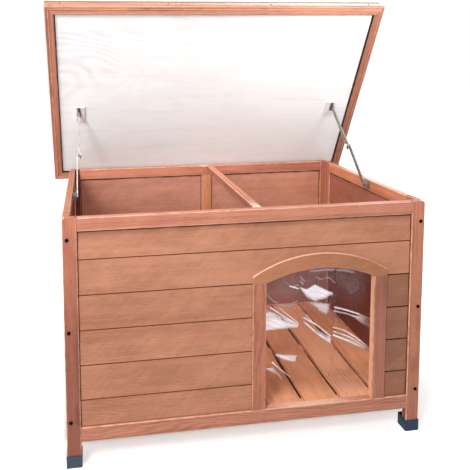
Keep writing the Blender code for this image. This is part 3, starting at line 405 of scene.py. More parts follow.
def timber(name, pale, deep, grain="x", seed=0.0, on_lid=False, rings=0.22, streaks=0.42, blotches=0.40,
           figure=0.15, tone=0.0, ring_pitch=4.0 * MM, outer=None, marks=(), fades=(), arris_light_and_wear=0.35,
           arris_least_slant=0.05, slats=False, arch_highlight=None, inner_painted_tone=0.0, painted_inner_shade=(), painted_shade_lines=()):
    """Stained timber for one piece or for a leaf of boards.

    marks are darker places, or paler ones where the strength is negative
    (centre, reach, strength, and a colour if it has its own); some paler
    ones are painted highlights.  fades are tones that change along an axis
    (axis, start, end, tone); some are painted light and shade.  The arch's
    circle (x, z, radius) marks its top edge, where a highlight and wear are
    painted in the colour of bare timber.  The inner shade is painted shade
    on the inner side along an axis (axis, start, end, colour), and the inner
    tone shifts the inner side's tone as painted light and shade.  The shade
    lines are painted shade where another piece meets this one, and they also
    darken some seams (axis, place, reach, strength)."""
    material, tree, shader, where = new_material(name)
    place, normal = where, make(tree, "ShaderNodeTexCoord", output="Normal")
    if on_lid:
        place, normal = turned(place, (LID_ANGLE, 0.0, 0.0)), turned(normal, (LID_ANGLE, 0.0, 0.0))
    vector = turned(place, GRAIN[grain])
    parts, own_parts = split(where), split(place)
    bare_and_lit, shine = stain("worn"), TIMBER_SHINE
    if outer:
        side = ramp(calc("DOT_PRODUCT", normal, outer), 0.2, 0.5)
        board = place_group(tree, "Board Courses", Vector=vector, Height=parts[2], Outer=side, Seed=seed)
        vector, seed = board["Vector"], board["Seed"]
        # Painted light and shade: the inner side's tone is shifted to how it is lit
        tone = board["Tone"] + (side * -inner_painted_tone + (tone + inner_painted_tone))
    if slats:
        rings, seed, tone, vector, ribbed = slat_finish(parts[0], vector, rings, seed, tone)
    for axis, start, end, change in fades:
        tone = ramp(parts[axis], start, end, 0.0, change) + tone
    wood = place_group(tree, "Stained Timber", Vector=vector, Seed=seed, Pale=pale, Deep=deep, Rings=rings,
                       Streaks=streaks, Blotches=blotches, Figure=figure, Tone=tone, Ring_Pitch=ring_pitch)
    colour = wood["Color"]
    if slats:
        colour = mix(ribbed, colour, RIB_HUE, "MULTIPLY")
    for centre, reach, strength, *own in marks:
        distance = (noise(where, 90.0, 4.0) - 0.5) * 0.9 + calc("LENGTH", (where - centre) / reach)
        spot = own[0] if own else tinted(deep, 0.42) if strength > 0.0 else bare_and_lit
        colour = mix(ramp(distance, 0.2, 1.1, abs(strength), 0.0), colour, spot)
    if outer:
        colour = mix(board["Seam"] * 0.90, colour, tinted(deep, SEAM_DIRT))
        shine = board["Seam"] * -TIMBER_SHINE + TIMBER_SHINE
        # Painted shade on the inner side
        for axis, start, end, light_and_shade in painted_inner_shade:
            colour = mix(ramp(parts[axis], start, end) * (1.0 - side), colour, light_and_shade, "MULTIPLY")
    # Painted shade: a dark line where another piece meets this one, as if cast there, which also darkens some
    # seams
    for axis, at, reach, strength in painted_shade_lines:
        ragged = ramp(noise(where, 12.0, 2.0), 0.3, 0.7, 0.75 * reach, 1.3 * reach)
        shade_line = abs(own_parts[axis] - (at + LID_SHIFT[axis] if on_lid else at)) / ragged
        shade_line = ramp(shade_line, 0.2, 1.0, strength, 0.0)
        colour = mix(shade_line, colour, tinted(deep, 0.14))
        shine = shine * (1.0 - shade_line)
    # Painted highlight and wear along the planed edges
    if arris_light_and_wear:
        arris = place_group(tree, "Worn Arris", Normal=normal, Vector=where, Least=arris_least_slant)
        colour = mix(arris["Mask"] * arris_light_and_wear, colour, bare_and_lit)
    # Painted highlight and wear along the arch's top edge, in the colour of bare timber
    if arch_highlight:
        x, z, radius = arch_highlight
        inward = radius - calc("LENGTH", join(parts[0] - x, 0.0, parts[2] - z))
        highlight_width = ramp(noise(where, 30.0), 0.35, 0.60, 1.2 * MM, 2.6 * MM)
        colour = mix(ramp(inward, highlight_width * 0.7, highlight_width, 0.9, 0.0), colour, bare_and_lit)
    coat(shader, colour, wood["Roughness"], shine)
    bump(shader, wood["Height"], 0.35 * MM, 0.5)
    return material


def slat_finish(x, vector, rings, seed, tone):
    """Rings, seed, tone and place that give each floor slat its own grain,
    and where the slat is that is sawn so that its rings show as ribs."""
    row = calc("FLOOR", x / SLAT_PITCH + 0.5)
    chance = chances(join(row, seed))
    ribbed = calc("COMPARE", row, 3.0, 0.1)
    tone = ribbed * -0.50 + ((chance[0] - 0.5) * 0.25 + tone)
    return ribbed * 1.60 + rings, chance[2] * 5.0 + seed, tone, vector + join(chance[1] * 3.0), ribbed


def hard_finish(name, colour, roughness, metallic=0.0, scale=40.0, mottling=0.25, scuff=None, specular=0.5):
    """Metal or moulded plastic with a fine skin and faint scuffs."""
    material, tree, shader, where = new_material(name)
    grime = place_group(tree, "Faint Grime", Vector=where, Scale=scale)
    scuff = scuff or tuple(min(1.0, c * 1.5 + 0.02) for c in colour)
    coat(shader, mix(grime["Mask"] * mottling, colour, scuff), grime["Mask"] * 0.2 + roughness, specular,
         metallic)
    bump(shader, grime["Fine"], 0.08 * MM, 0.4)
    return material


def wash_finish(pale, thin):
    """Whitewashed veneer: the contour lines of peeled wood under a thin
    white coat, with painted shade towards the hinges and the left."""
    material, tree, shader, where = new_material("whitewashed_veneer")
    place = turned(where, (LID_ANGLE, 0.0, 0.0))
    x, height = split(place)[0], split(where)[2]
    hills = noise(turned(place * (1.3, 3.6, 3.6), location=(1.84, 0.0, 0.0)), 1.0, 2.0, 0.4, 0.4)
    contour = ramp(abs(calc("FRACT", hills * 20.0) - 0.5), 0.0, 0.42, 1.0, 0.0)
    fibre = noise(place, (9.0, 260.0, 260.0))
    brushed = noise(place, (3.5, 40.0, 40.0), 4.0, 0.6, 0.5)
    cloud = noise(place, (4.0, 7.0, 7.0), 4.0, 0.6, 0.8)
    low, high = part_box("lid_lining")
    showing = ramp(noise(place, (2.4, 5.0, 5.0)), 0.42, 0.60, 0.2, 1.0) * ramp(x, 0.15, -0.20, 0.10, 1.0)
    showing = showing * ramp(height, low.z + 0.18, low.z + 0.34, 0.25, 1.0)
    # Painted shade: darker towards the hinges and the left
    painted_dimming = ramp(height, high.z, low.z, 0.0, 0.05) + ramp(x, 0.0, -0.45, 0.0, 0.12)
    mask = contour * showing * 0.30 + (ramp(fibre, 0.5, 0.8, 0.0, 0.16) + painted_dimming)
    mask = mask + ramp(cloud, 0.42, 0.68, 0.0, 0.08)
    mask = calc("ADD", mask, ramp(brushed, 0.50, 0.78, 0.0, 0.16), clamp=True)
    coat(shader, mix(mask, pale, thin), fibre * 0.2 + 0.62, 0.25)
    bump(shader, contour * 0.4 + fibre, 0.15 * MM, 0.4)
    return material


def felt_finish():
    """Bitumen felt with mineral grains pressed into it."""
    material, tree, shader, where = new_material("mineral_felt")
    grains = tree.nodes.new("ShaderNodeTexVoronoi")
    feed(grains.inputs["Scale"], 620.0)
    feed(grains.inputs["Vector"], where)
    grains = outlets(grains)
    specks = split(grains["Color"])
    dark = mix(ramp(noise(where, 9.0, 4.0), 0.3, 0.7), (0.105, 0.108, 0.118), (0.150, 0.152, 0.165))
    coat(shader, mix(ramp(specks[0], 0.55, 0.95, 0.0, 0.7), dark, (0.36, 0.36, 0.38)), specks[1] * 0.2 + 0.78)
    bump(shader, grains["Distance"], 0.7 * MM, 0.8)
    return material


def film_finish():
    """Clear soft film: see-through but for the glare on its milky creases,
    and a little smoky at the top."""
    material, tree, shader, where = new_material("clear_film")
    haze = make(tree, "ShaderNodeAttribute", output="Fac", attribute_name="haze")
    x, _, z = split(where)
    low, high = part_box("curtain_strip_middle")
    strand = noise(turned(where, (0.0, -0.38, 0.0)), (14.0, 40.0, 110.0), 4.0, 0.6, 0.6)
    fine = noise(turned(where, (0.0, -0.42, 0.0)), (10.0, 40.0, 300.0), 2.0)
    uneven = ramp(strand, 0.34, 0.58, 0.62, 1.0) * ramp(fine, 0.38, 0.60, 0.82, 1.05)
    swirl = ramp(noise(where, (9.0, 9.0, 14.0), 3.0, 0.5, 1.5), 0.35, 0.65, 0.6, 1.2)
    top = ramp(z, low.z + 0.45 * (high.z - low.z), high.z, 0.0, 0.36)
    grazing = make(tree, "ShaderNodeLayerWeight", {"Blend": 0.15}, "Fresnel")
    cover = top * swirl + (haze * uneven + grazing * 0.08)
    feed(shader["Alpha"], calc("ADD", cover, 0.008, clamp=True))
    smoke = mix(ramp(x, low.x - 0.06, high.x), (0.34, 0.21, 0.23), (0.15, 0.055, 0.065))
    milk_glare_colour = mix(ramp(haze, 0.0, 0.30), smoke, (0.78, 0.73, 0.78))
    coat(shader, milk_glare_colour, haze * 0.4 + 0.15, metallic=ramp(haze, 0.15, 0.6, 0.0, 0.9))
    bump(shader, noise(where, (30.0, 30.0, 60.0), 4.0), 1.0 * MM, 0.5)
    return material


def dress(node, *materials, pick=None):
    """Give a node its materials; pick chooses one by a face's centre."""
    mesh = frame["nodes"][node].data
    mesh.materials.clear()
    for material in materials:
        mesh.materials.append(material)
    for face in mesh.polygons:
        face.material_index = int(pick(face.center)) if pick else 0


# Fixings
def new_object(name, data):
    made = bpy.data.objects.new(name, data)
    bpy.context.scene.collection.objects.link(made)
    return made


def build_fixing_tree(name):
    """Geometry Nodes: a domed head on every point, its axis along the point's
    aim, with an optional cross recess."""
    tree, given, result = new_group(
        name, "GeometryNodeTree",
        {"Geometry": "Geometry", "Radius": 3.0 * MM, "Depth": 1.2 * MM, "Dome": 0.7, "Recess": 0.55,
         "Sides": 16, "Finish": "Material"},
        {"Geometry": "Geometry"})
    radius, depth = given["Radius"], given["Depth"]
    head = make(tree, "GeometryNodeMeshCone", {
        "Vertices": given["Sides"], "Radius Bottom": radius, "Radius Top": radius * given["Dome"],
        "Depth": depth})
    bars = tree.nodes.new("GeometryNodeJoinGeometry")
    size = join(radius * 1.15, radius * 0.3, depth)
    lift = join(0.0, 0.0, depth * (1.5 - given["Recess"]))
    for turn in (0.0, math.pi / 2.0):
        bar = make(tree, "GeometryNodeMeshCube", {"Size": size})
        feed(bars.inputs["Geometry"], make(tree, "GeometryNodeTransform", {
            "Geometry": bar, "Rotation": (0.0, 0.0, turn), "Translation": lift}))
    cut = make(tree, "GeometryNodeMeshBoolean", {
        "Self Intersection": True, "Mesh 1": head, "Mesh 2": Signal(bars.outputs["Geometry"])},
        operation="DIFFERENCE", solver="EXACT")
    aim = make(tree, "GeometryNodeInputNamedAttribute", {"Name": "aim"}, "Attribute",
               data_type="FLOAT_VECTOR")
    align = make(tree, "FunctionNodeAlignRotationToVector", {"Vector": aim}, axis="Z")
    chance = make(tree, "FunctionNodeRandomValue", {3: math.tau, "Seed": 11}, 1, data_type="FLOAT")
    around = make(tree, "FunctionNodeEulerToRotation", {0: join(0.0, 0.0, chance)})
    spin = make(tree, "FunctionNodeRotateRotation", {"Rotation": align, "Rotate By": around},
                rotation_space="LOCAL")
    points = make(tree, "GeometryNodeMeshToPoints", {"Mesh": given["Geometry"]})
    heads = make(tree, "GeometryNodeInstanceOnPoints", {"Points": points, "Instance": cut, "Rotation": spin})
    real = make(tree, "GeometryNodeRealizeInstances", {"Geometry": heads})
    finished = make(tree, "GeometryNodeSetMaterial", {"Geometry": real, "Material": given["Finish"]})
    feed(result["Geometry"], finished)
    return tree


def fixings(name, spots, body, finish, radius, depth=1.2 * MM, dome=0.7, recess=0.55, sides=16):
    """Heads at the given (place, aim) spots, as one mesh that rides on a body."""
    tree = bpy.data.node_groups.get("Fixing Heads") or build_fixing_tree("Fixing Heads")
    mesh = bpy.data.meshes.new(name + "_spots")
    mesh.from_pydata([tuple(p) for p, _ in spots], [], [])
    aims = mesh.attributes.new("aim", "FLOAT_VECTOR", "POINT")
    for i, (_, aim) in enumerate(spots):
        aims.data[i].vector = Vector(aim).normalized()
    holder = new_object(name + "_spots", mesh)
    modifier = holder.modifiers.new("heads", "NODES")
    modifier.node_group = tree
    values = {"Radius": radius, "Depth": depth, "Dome": dome, "Recess": recess, "Sides": sides,
              "Finish": finish}
    for item in tree.interface.items_tree:
        if item.item_type == "SOCKET" and item.in_out == "INPUT" and item.name in values:
            modifier[item.identifier] = values[item.name]
    graph = bpy.context.evaluated_depsgraph_get()
    graph.update()
    baked = bpy.data.meshes.new_from_object(holder.evaluated_get(graph))
    bpy.data.objects.remove(holder, do_unlink=True)
    baked.name = name
    if not baked.vertices:
        raise RuntimeError(f"{name}: no heads were made")
    piece = new_object(name, baked)
    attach(piece, body)


def from_lid(x, y, z):
    """A point of the shut lid, turned to where it stands open."""
    return OPENING @ (Vector((x, y, z)) - HINGE_AXIS) + HINGE_AXIS


def to_lid(x, y, z):
    """Where a point of the open lid lies once the lid is shut."""
    return SHUTTING @ (Vector((x, y, z)) - HINGE_AXIS) + HINGE_AXIS


def lid_span(node):
    """Lowest and highest corner of a lid piece with the lid shut."""
    points = [to_lid(*v.co) for v in frame["nodes"][node].data.vertices]
    return Vector(map(min, zip(*points))), Vector(map(max, zip(*points)))


def lid_aim(x, y, z):
    return OPENING @ Vector((x, y, z))


# Film strips
# The strips' folds: how far down the strip, and how far it stands back there,
# in thousandths of its length
FOLDS = {
    "left": (0, 0, 220, 8, 360, 26, 450, 12, 660, 30, 840, 52, 1000, 110),
    "middle": (0, 0, 140, 12, 300, 4, 520, 20, 620, 44, 820, 36, 1000, 82),
    "right": (0, 0, 200, 6, 380, 18, 500, 42, 640, 24, 860, 40, 1000, 94),
}
# Creases from packing, where the film has gone milky and glare is painted.
# Each has its level of milkiness and painted glare, its relief in millimetres,
# the width of its line in millimetres, or 0 for an area, and its points in
# thousandths of the strip's width and length.
CREASES = {
    "left": (
        (0.60, 2.4, 0, (100, 392, 300, 400, 550, 455, 1000, 503, 990, 522, 100, 536)),
        (0.85, 1.2, 1.6, (300, 362, 550, 418, 1000, 505)),
        (0.50, 1.0, 1.1, (120, 374, 450, 416, 800, 484)),
        (0.75, 1.0, 1.0, (506, 366, 1000, 492)),
        (0.55, 0.8, 0.9, (200, 385, 900, 489)),
        (0.60, 2.0, 0, (440, 735, 1000, 762, 1000, 812, 830, 806, 617, 780)),
        (0.92, 1.0, 1.7, (262, 862, 416, 860, 560, 912, 700, 985)),
        (0.98, 1.0, 1.8, (389, 806, 720, 910, 980, 985)),
        (0.80, 1.5, 0, (262, 862, 420, 860, 560, 925, 400, 900)),
        (0.80, 1.0, 1.3, (752, 196, 976, 221)),
        (0.60, 0.6, 0.9, (800, 211, 959, 189)),
        (0.30, 1.4, 1.5, (120, 190, 200, 255, 335, 303, 553, 350, 784, 362, 970, 325)),
        (0.22, 0.8, 1.2, (140, 575, 300, 625, 550, 650, 850, 655)),
        (0.70, 0.8, 1.2, (470, 747, 592, 770)),
        (0.14, 0.8, 2.0, (550, 100, 620, 170, 800, 190)),
    ),
    "middle": (
        (0.60, 2.6, 0, (0, 214, 197, 233, 433, 202, 947, 275, 737, 308, 435, 325, 212, 294)),
        (0.34, 1.8, 0, (269, 330, 872, 352, 806, 440, 611, 417)),
        (0.62, 2.4, 0, (550, 575, 947, 641, 1000, 655, 1000, 700, 900, 680, 620, 622)),
        (0.34, 1.0, 2.2, (149, 490, 547, 580, 900, 655)),
        (0.88, 1.2, 1.7, (133, 452, 525, 522, 1000, 640)),
        (0.85, 1.0, 1.5, (162, 494, 562, 600, 1000, 692)),
        (0.45, 0.8, 1.0, (20, 131, 80, 157, 147, 169)),
        (0.35, 0.8, 1.0, (466, 139, 591, 161, 854, 154, 985, 196)),
        (0.50, 0.8, 1.1, (20, 167, 100, 191)),
        (0.45, 0.8, 1.1, (880, 262, 950, 300)),
        (0.24, 0.6, 4.2, (300, 93, 700, 90, 1000, 91)),
    ),
    "right": (
        (0.24, 0.6, 4.2, (0, 93, 230, 100, 440, 120)),
        (0.06, 1.0, 0, (20, 130, 500, 150, 620, 240, 440, 310, 100, 230)),
        (0.85, 1.2, 2.4, (0, 392, 300, 424, 620, 463, 1000, 525)),
        (0.62, 1.0, 1.8, (0, 425, 360, 462, 620, 498)),
        (0.72, 2.0, 0, (500, 480, 786, 495, 1000, 530, 1000, 585, 800, 552)),
        (-0.55, 1.0, 0.8, (20, 408, 400, 452, 860, 517)),
        (0.80, 1.2, 1.6, (0, 560, 300, 590, 600, 650, 980, 745)),
        (0.74, 1.0, 1.7, (20, 592, 450, 645, 960, 752)),
        (0.95, 1.4, 2.6, (0, 618, 400, 672, 700, 722, 980, 775)),
        (0.30, 1.6, 0, (300, 640, 600, 672, 960, 752, 900, 760, 560, 700)),
        (0.10, 2.0, 3.0, (224, 199, 431, 292, 578, 266, 603, 200)),
        (0.30, 0.8, 1.0, (30, 388, 90, 542, 186, 520)),
    ),
}
FILM_THICKNESS = 0.4 * MM
FILM_STEP = 2.2 * MM


def distance_to_line(points, line):
    """Least distance of each point to a run of straight pieces."""
    best = np.full(len(points), 1e9)
    for a, b in zip(line, line[1:]):
        way = b - a
        along = np.clip(((points - a) @ way) / max(way @ way, 1e-12), 0.0, 1.0)
        best = np.minimum(best, np.linalg.norm(points - a - along[:, None] * way, axis=1))
    return best


def inside_outline(points, outline):
    """Which points lie inside a closed outline."""
    found = np.zeros(len(points), bool)
    x, y = points[:, 0], points[:, 1]
    for (x0, y0), (x1, y1) in zip(outline, np.roll(outline, -1, axis=0)):
        at = x0 + (y - y0) / (y1 - y0 if y1 != y0 else 1e-9) * (x1 - x0)
        found ^= ((y0 > y) != (y1 > y)) & (x < at)
    return found


def film_milk_and_glare(points, size, creases):
    """Milkiness with painted glare, and relief of the film at points given as shares of its size."""
    flat = points * size
    haze, relief = np.zeros(len(points)), np.zeros(len(points))
    for level, rise, width, outline in creases:
        outline = np.array(outline).reshape(-1, 2) / 1000.0 * size
        if width:
            near = np.exp(-(distance_to_line(flat, outline) / (width * MM)) ** 2)
        else:
            edge = distance_to_line(flat, np.vstack([outline, outline[:1]])) / (6.0 * MM)
            inner, outer = 0.55 + 0.45 * np.clip(edge, 0.0, 1.0), 0.55 - 0.55 * np.clip(edge * 2.5, 0.0, 1.0)
            near = np.where(inside_outline(flat, outline), inner, outer)
        haze = haze + (level - haze) * near if level > 0 else haze * (1.0 + level * near)
        relief += rise * MM * near
    return np.clip(haze, 0.0, 1.0), relief


def smooth_fold(shares, down):
    """A smooth curve through the fold's points."""
    downs, backs = np.array(shares).reshape(-1, 2).T / 1000.0
    slopes = np.gradient(backs, downs)
    slopes[0] = 0.0
    i = np.clip(np.searchsorted(downs, down, "right") - 1, 0, len(downs) - 2)
    step = downs[i + 1] - downs[i]
    t = (down - downs[i]) / step
    return (backs[i] * (2 * t ** 3 - 3 * t ** 2 + 1) + slopes[i] * step * (t ** 3 - 2 * t ** 2 + t)
            + backs[i + 1] * (3 * t ** 2 - 2 * t ** 3) + slopes[i + 1] * step * (t ** 3 - t ** 2))


def film_strip(word, finish):
    """One clear strip of the curtain: a thin film that hangs in its folds,
    with creases that have gone milky and carry painted glare."""
    node = f"curtain_strip_{word}"
    low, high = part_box(node)
    width, length = high.x - low.x, high.z - low.z
    across, along = (max(2, int(side / FILM_STEP)) for side in (width, length))
    steps = (np.linspace(0.0, 1.0, count + 1) for count in (across, along))
    u, v = (share.ravel() for share in np.meshgrid(*steps))
    haze, relief = film_milk_and_glare(np.column_stack([u, v]), np.array([width, length]), CREASES[word])
    back = smooth_fold(FOLDS[word], v) * length
    wave = np.sin(u * 5.2 + v * 3.0 + len(word)) * v * 1.6 * MM
    y = low.y + 0.6 * MM + back + wave + relief * np.minimum(1.0, v * 8.0)
    grid = np.column_stack([low.x + u * width, y, high.z - v * length]).reshape(along + 1, across + 1, 3)
    normal = np.cross(np.gradient(grid, axis=1), np.gradient(grid, axis=0))
    normal /= np.linalg.norm(normal, axis=2, keepdims=True)
    behind = grid + normal * FILM_THICKNESS
    index = np.arange(len(u)).reshape(along + 1, across + 1)
    front = np.stack([index[:-1, :-1], index[1:, :-1], index[1:, 1:], index[:-1, 1:]], axis=-1).reshape(-1, 4)
    rear = front[:, ::-1] + len(u)
    rim = np.concatenate([index[0, :], index[1:, -1], index[-1, -2::-1], index[-2:0:-1, 0]])
    ahead = np.roll(rim, -1)
    sides = np.stack([rim, ahead, ahead + len(u), rim + len(u)], axis=-1)
    mesh = bpy.data.meshes.new(node + "_film")
    points = np.concatenate([grid.reshape(-1, 3), behind.reshape(-1, 3)])
    mesh.from_pydata(points.tolist(), [], np.concatenate([front, rear, sides]).tolist())
    # Painted glints along the strip's edges
    glint = 0.10 + 0.12 * np.sin(v * 23.0 + len(word)) * np.sin(v * 61.0)
    haze = np.maximum(haze, glint * np.exp(-(np.minimum(u, 1.0 - u) * width / (1.0 * MM)) ** 2))
    mesh.attributes.new("haze", "FLOAT", "POINT").data.foreach_set("value", np.concatenate([haze, haze]))
    mesh.materials.append(finish)
    mesh.shade_smooth()
    piece = new_object(node + "_film", mesh)
    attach(piece, f"strip_{word}")
    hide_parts(node)


# Operators
# Each piece's brightness: partly its own tone, partly painted light and shade
FRAME_TONE_AND_LIGHT = {"front_left_stile": 0.90, "front_right_stile": 1.10, "back_right_stile": 0.88,
                "front_top_rail": 1.04, "back_top_rail": 1.16, "right_top_rail": 1.22}
FRAME_HUES = {"front_left_stile": (1.0, 0.94, 0.88), "front_right_stile": (1.0, 1.0, 0.97),
              "right_top_rail": (1.0, 1.0, 0.90)}
FRAME_HUE = (1.0, 1.03, 1.04)
# The back wall's stain, pale and deep
INNER_BACK = (0.71, 0.325, 0.225), (0.42, 0.170, 0.110)


class KENNEL_OT_frame(bpy.types.Operator):
    """Stain the frame's stiles, rails and the beam"""
    bl_idname = "kennel.frame_timber"
    bl_label = "Frame timber"

    def execute(self, context):
        pale, deep, bleach_and_sheen = stain("frame_pale"), stain("frame_deep"), stain("bleach_and_sheen")
        left, right, front = CORNER.x, CORNER.x + WIDTH, CORNER.y
        sill = (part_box("curtain_clamp")[0].x + 0.16, front + 0.01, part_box("front_bottom_rail")[1].z)
        beam = (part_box("cross_beam")[0].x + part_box("cross_beam")[1].x) / 2.0
        marks = {
            "front_left_stile": (((left + 0.030, front, 0.150), (0.009, 0.02, 0.050), 0.60),
                                 ((left + 0.034, front, 0.300), (0.008, 0.02, 0.110), 0.40),
                                 ((left + 0.012, front, 0.128), (0.010, 0.02, 0.022), 0.45)),
            "front_right_stile": (((right - 0.012, front, 0.330), (0.012, 0.02, 0.05), 0.30),
                                  ((right - 0.020, front, 0.205), (0.016, 0.02, 0.03), 0.28)),
            # The second mark is a painted highlight along the rail's top
            "right_top_rail": (((right, front + 0.33, HEIGHT), (0.02, 0.035, 0.02), 0.45),
                               ((right, front + 0.20, HEIGHT + 0.004), (0.03, 0.30, 0.012), -0.75)),
            # Painted highlight along the sill's front edge, in the colour of bare timber
            "front_bottom_rail": ((sill, (0.16, 0.030, 0.004), -0.85),),
            # Painted sheen on the beam's front end
            "cross_beam": (((beam, front + 0.02, HEIGHT), (0.03, 0.045, 0.008), 0.8, bleach_and_sheen),),
            "back_top_rail": (
                ((beam - 0.02, front + DEPTH - 0.03, HEIGHT), (0.035, 0.03, 0.007), 0.8, bleach_and_sheen),),
        }
        fades = {
            # Painted shade: darker towards the bottom
            "front_left_stile": ((2, 0.60, 0.30, 0.66),),
            "front_right_stile": ((2, 0.60, 0.12, 0.10),),
            "back_top_rail": ((0, 0.0, 0.40, 0.40),),
            # Painted highlight on the beam's top face
            "cross_beam": ((2, HEIGHT - 0.004, HEIGHT, -0.35),),
            "front_top_rail": ((0, -0.3, 0.1, -0.16),),
        }
        upright = sorted(n for n in frame["nodes"] if n.endswith("_stile") and "centre" not in n)
        lying = ["front_top_rail", "front_bottom_rail", "back_top_rail", "back_bottom_rail", "curtain_clamp"]
        endways = ["left_top_rail", "left_bottom_rail", "right_top_rail", "right_bottom_rail", "cross_beam"]
        for grain, nodes, seed in (("z", upright, 1.0), ("x", lying, 20.0), ("y", endways, 30.0)):
            for i, node in enumerate(nodes):
                hue = tuple(h * FRAME_TONE_AND_LIGHT.get(node, 1.0) for h in FRAME_HUES.get(node, FRAME_HUE))
                finish = timber(node + "_stain", tinted(pale, hue), tinted(deep, hue), grain, seed + i,
                               rings=0.34, streaks=0.70, figure=0.14, arris_light_and_wear=0.80,
                               marks=marks.get(node, ()), fades=fades.get(node, ()))
                if node == "back_left_stile":
                    # Painted shadow on the stile's inner face
                    shadow = timber("corner_stain", tinted(deep, 0.55), tinted(deep, 0.28), grain, seed + i)
                    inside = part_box(node)[0].y
                    dress(node, finish, shadow, pick=lambda centre: abs(centre.y - inside) < 0.5 * MM)
                else:
                    dress(node, finish)
        warm, warm_deep = tinted(stain("door_pale"), 1.2), tinted(stain("door_deep"), 1.3)
        dress("back_centre_stile", timber("back_centre_stain", warm, warm_deep, "z", 40.0))
        return {"FINISHED"}


class KENNEL_OT_boards(bpy.types.Operator):
    """Stain the wall boards"""
    bl_idname = "kennel.wall_boards"
    bl_label = "Wall boards"

    def execute(self, context):
        pale, deep = stain("board_pale"), stain("board_deep")
        looks = dict(rings=0.14, blotches=0.50, streaks=0.34, figure=0.30, arris_light_and_wear=0.0)
        # The boards right of the door are much darker, partly as painted shade
        tones_and_shade = {"front_board_top": -0.06, "front_board_over_door": -0.10, "front_boards_right": 0.66}
        fronts = sorted(n for n in frame["nodes"] if n.startswith("front_board"))
        end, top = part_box("front_left_stile")[1].x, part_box("front_top_rail")[0].z
        # Painted shadows beside the stiles, under the top rail with a soft band below it, and along the
        # bottom rail
        front_shadow_lines = ((0, end, 4 * MM, 0.9), (0, -end, 4 * MM, 0.9), (2, top, 6 * MM, 1.0),
                 (2, top, 22 * MM, 0.28), (2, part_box("front_bottom_rail")[1].z, 2.5 * MM, 0.6))
        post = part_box("door_post_right")[1].x
        # Painted shadow beside the door post, and darker seams between the courses
        door_shadow_and_seams = ((0, post, 4 * MM, 0.9), *((2, FIRST_SEAM + i * ROW, 3.2 * MM, 0.85) for i in range(5)))
        dull = ((post + 0.04, CORNER.y, FIRST_SEAM + 0.9 * ROW), (0.16, 0.10, 1.5 * ROW), 0.30)
        for i, node in enumerate(fronts):
            own = dict(painted_shade_lines=front_shadow_lines)
            if node == "front_boards_right":
                own = dict(painted_shade_lines=front_shadow_lines + door_shadow_and_seams, marks=(dull,))
            dress(node, timber(node + "_stain", pale, deep, "x", 90.0 + i, outer=(0.0, -1.0, 0.0),
                               tone=tones_and_shade.get(node, 0.10), fades=((0, -0.45, -0.05, -0.16),), **own, **looks))
        walls = (("back_boards_left", "x", (0, 1, 0)), ("back_boards_right", "x", (0, 1, 0)),
                 ("left_boards", "y", (-1, 0, 0)), ("right_boards", "y", (1, 0, 0)))
        # Painted shade on the walls' inner sides: the left wall dark all over, the others darker towards the
        # floor, and the inner sides' tones shifted as painted light and shade
        painted_wall_shade = {"left_boards": ((2, 0.0, 0.1, (0.36, 0.39, 0.45)),),
                  "right_boards": ((2, 0.50, 0.36, (0.52, 0.47, 0.50)), (2, 0.0, 0.1, (0.80, 0.70, 0.78)))}
        inner_painted_tones = {"left_boards": 0.75, "right_boards": 0.05}
        near, far = (corner.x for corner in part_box("back_centre_stile"))
        for i, (node, grain, outer) in enumerate(walls):
            # Painted shade under the top rail and along the stiles
            shade_lines = ((2, top, 7 * MM, 1.0),)
            if grain == "x":
                colours = INNER_BACK
                shade_lines += ((0, -end, 5 * MM, 0.9), (0, end, 5 * MM, 0.9), (0, near, 5 * MM, 0.8),
                          (0, far, 4 * MM, 0.7))
            else:
                colours = pale, deep
                shade_lines += ((1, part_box("back_left_stile")[0].y, 6 * MM, 0.8),)
            dress(node, timber(node + "_stain", *colours, grain, 105.0 + i, outer=outer, painted_shade_lines=shade_lines,
                               inner_painted_tone=inner_painted_tones.get(node, -0.12),
                               painted_inner_shade=painted_wall_shade.get(node, ((2, 0.44, 0.26, (0.74, 0.68, 0.72)),)), **looks))
        return {"FINISHED"}


class KENNEL_OT_doorway(bpy.types.Operator):
    """Stain the doorway's posts and arch"""
    bl_idname = "kennel.doorway"
    bl_label = "Doorway"

    def execute(self, context):
        # Painted light: the posts' reveals are brighter and more orange, as lit from the left
        lit_reveal = timber("door_reveal_stain", (1.0, 0.55, 0.34), (0.86, 0.40, 0.23), "z", 52.0, figure=0.05,
                        arris_light_and_wear=0.0)
        posts = (("door_post_left", 0.10, (1.0, 0.96, 0.90), 1),
                 ("door_post_right", 0.22, (0.90, 0.9024, 0.918), 0))
        for i, (node, tone, hue, inner) in enumerate(posts):
            pale, deep = tinted(stain("frame_pale"), hue), tinted(stain("frame_deep"), hue)
            finish = timber(node + "_stain", pale, deep, "z", 50.0 + i, tone=tone, rings=0.3, streaks=0.6,
                            figure=0.12, arris_light_and_wear=0.6)
            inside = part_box(node)[inner].x
            dress(node, finish, lit_reveal, pick=lambda centre: abs(centre.x - inside) < 0.1 * MM)
        start, end = (corner.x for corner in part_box("door_arch"))
        dress("door_arch", timber("door_arch_stain", stain("door_pale"), stain("door_deep"), "x", 55.0,
                                  rings=0.10, streaks=0.22, blotches=0.30, figure=0.22,
                                  fades=((0, start, end, 0.30),), arris_light_and_wear=0.75, arris_least_slant=0.16,
                                  arch_highlight=top_circle("door_arch")))
        return {"FINISHED"}


def top_circle(node):
    """Circle through the upper edge of an arched piece, as (x, z, radius)."""
    low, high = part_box(node)
    points = [v.co for v in frame["nodes"][node].data.vertices]
    middle, half, crown = (low.x + high.x) / 2.0, (high.x - low.x) / 4.0, high.z
    side = max((v.z for v in points if abs(abs(v.x - middle) - half) < half * 0.12), default=crown)
    at = min((abs(v.x - middle) for v in points if v.z == side), default=half)
    rise = crown - side
    radius = (at * at + rise * rise) / (2.0 * rise)
    return middle, crown - radius, radius


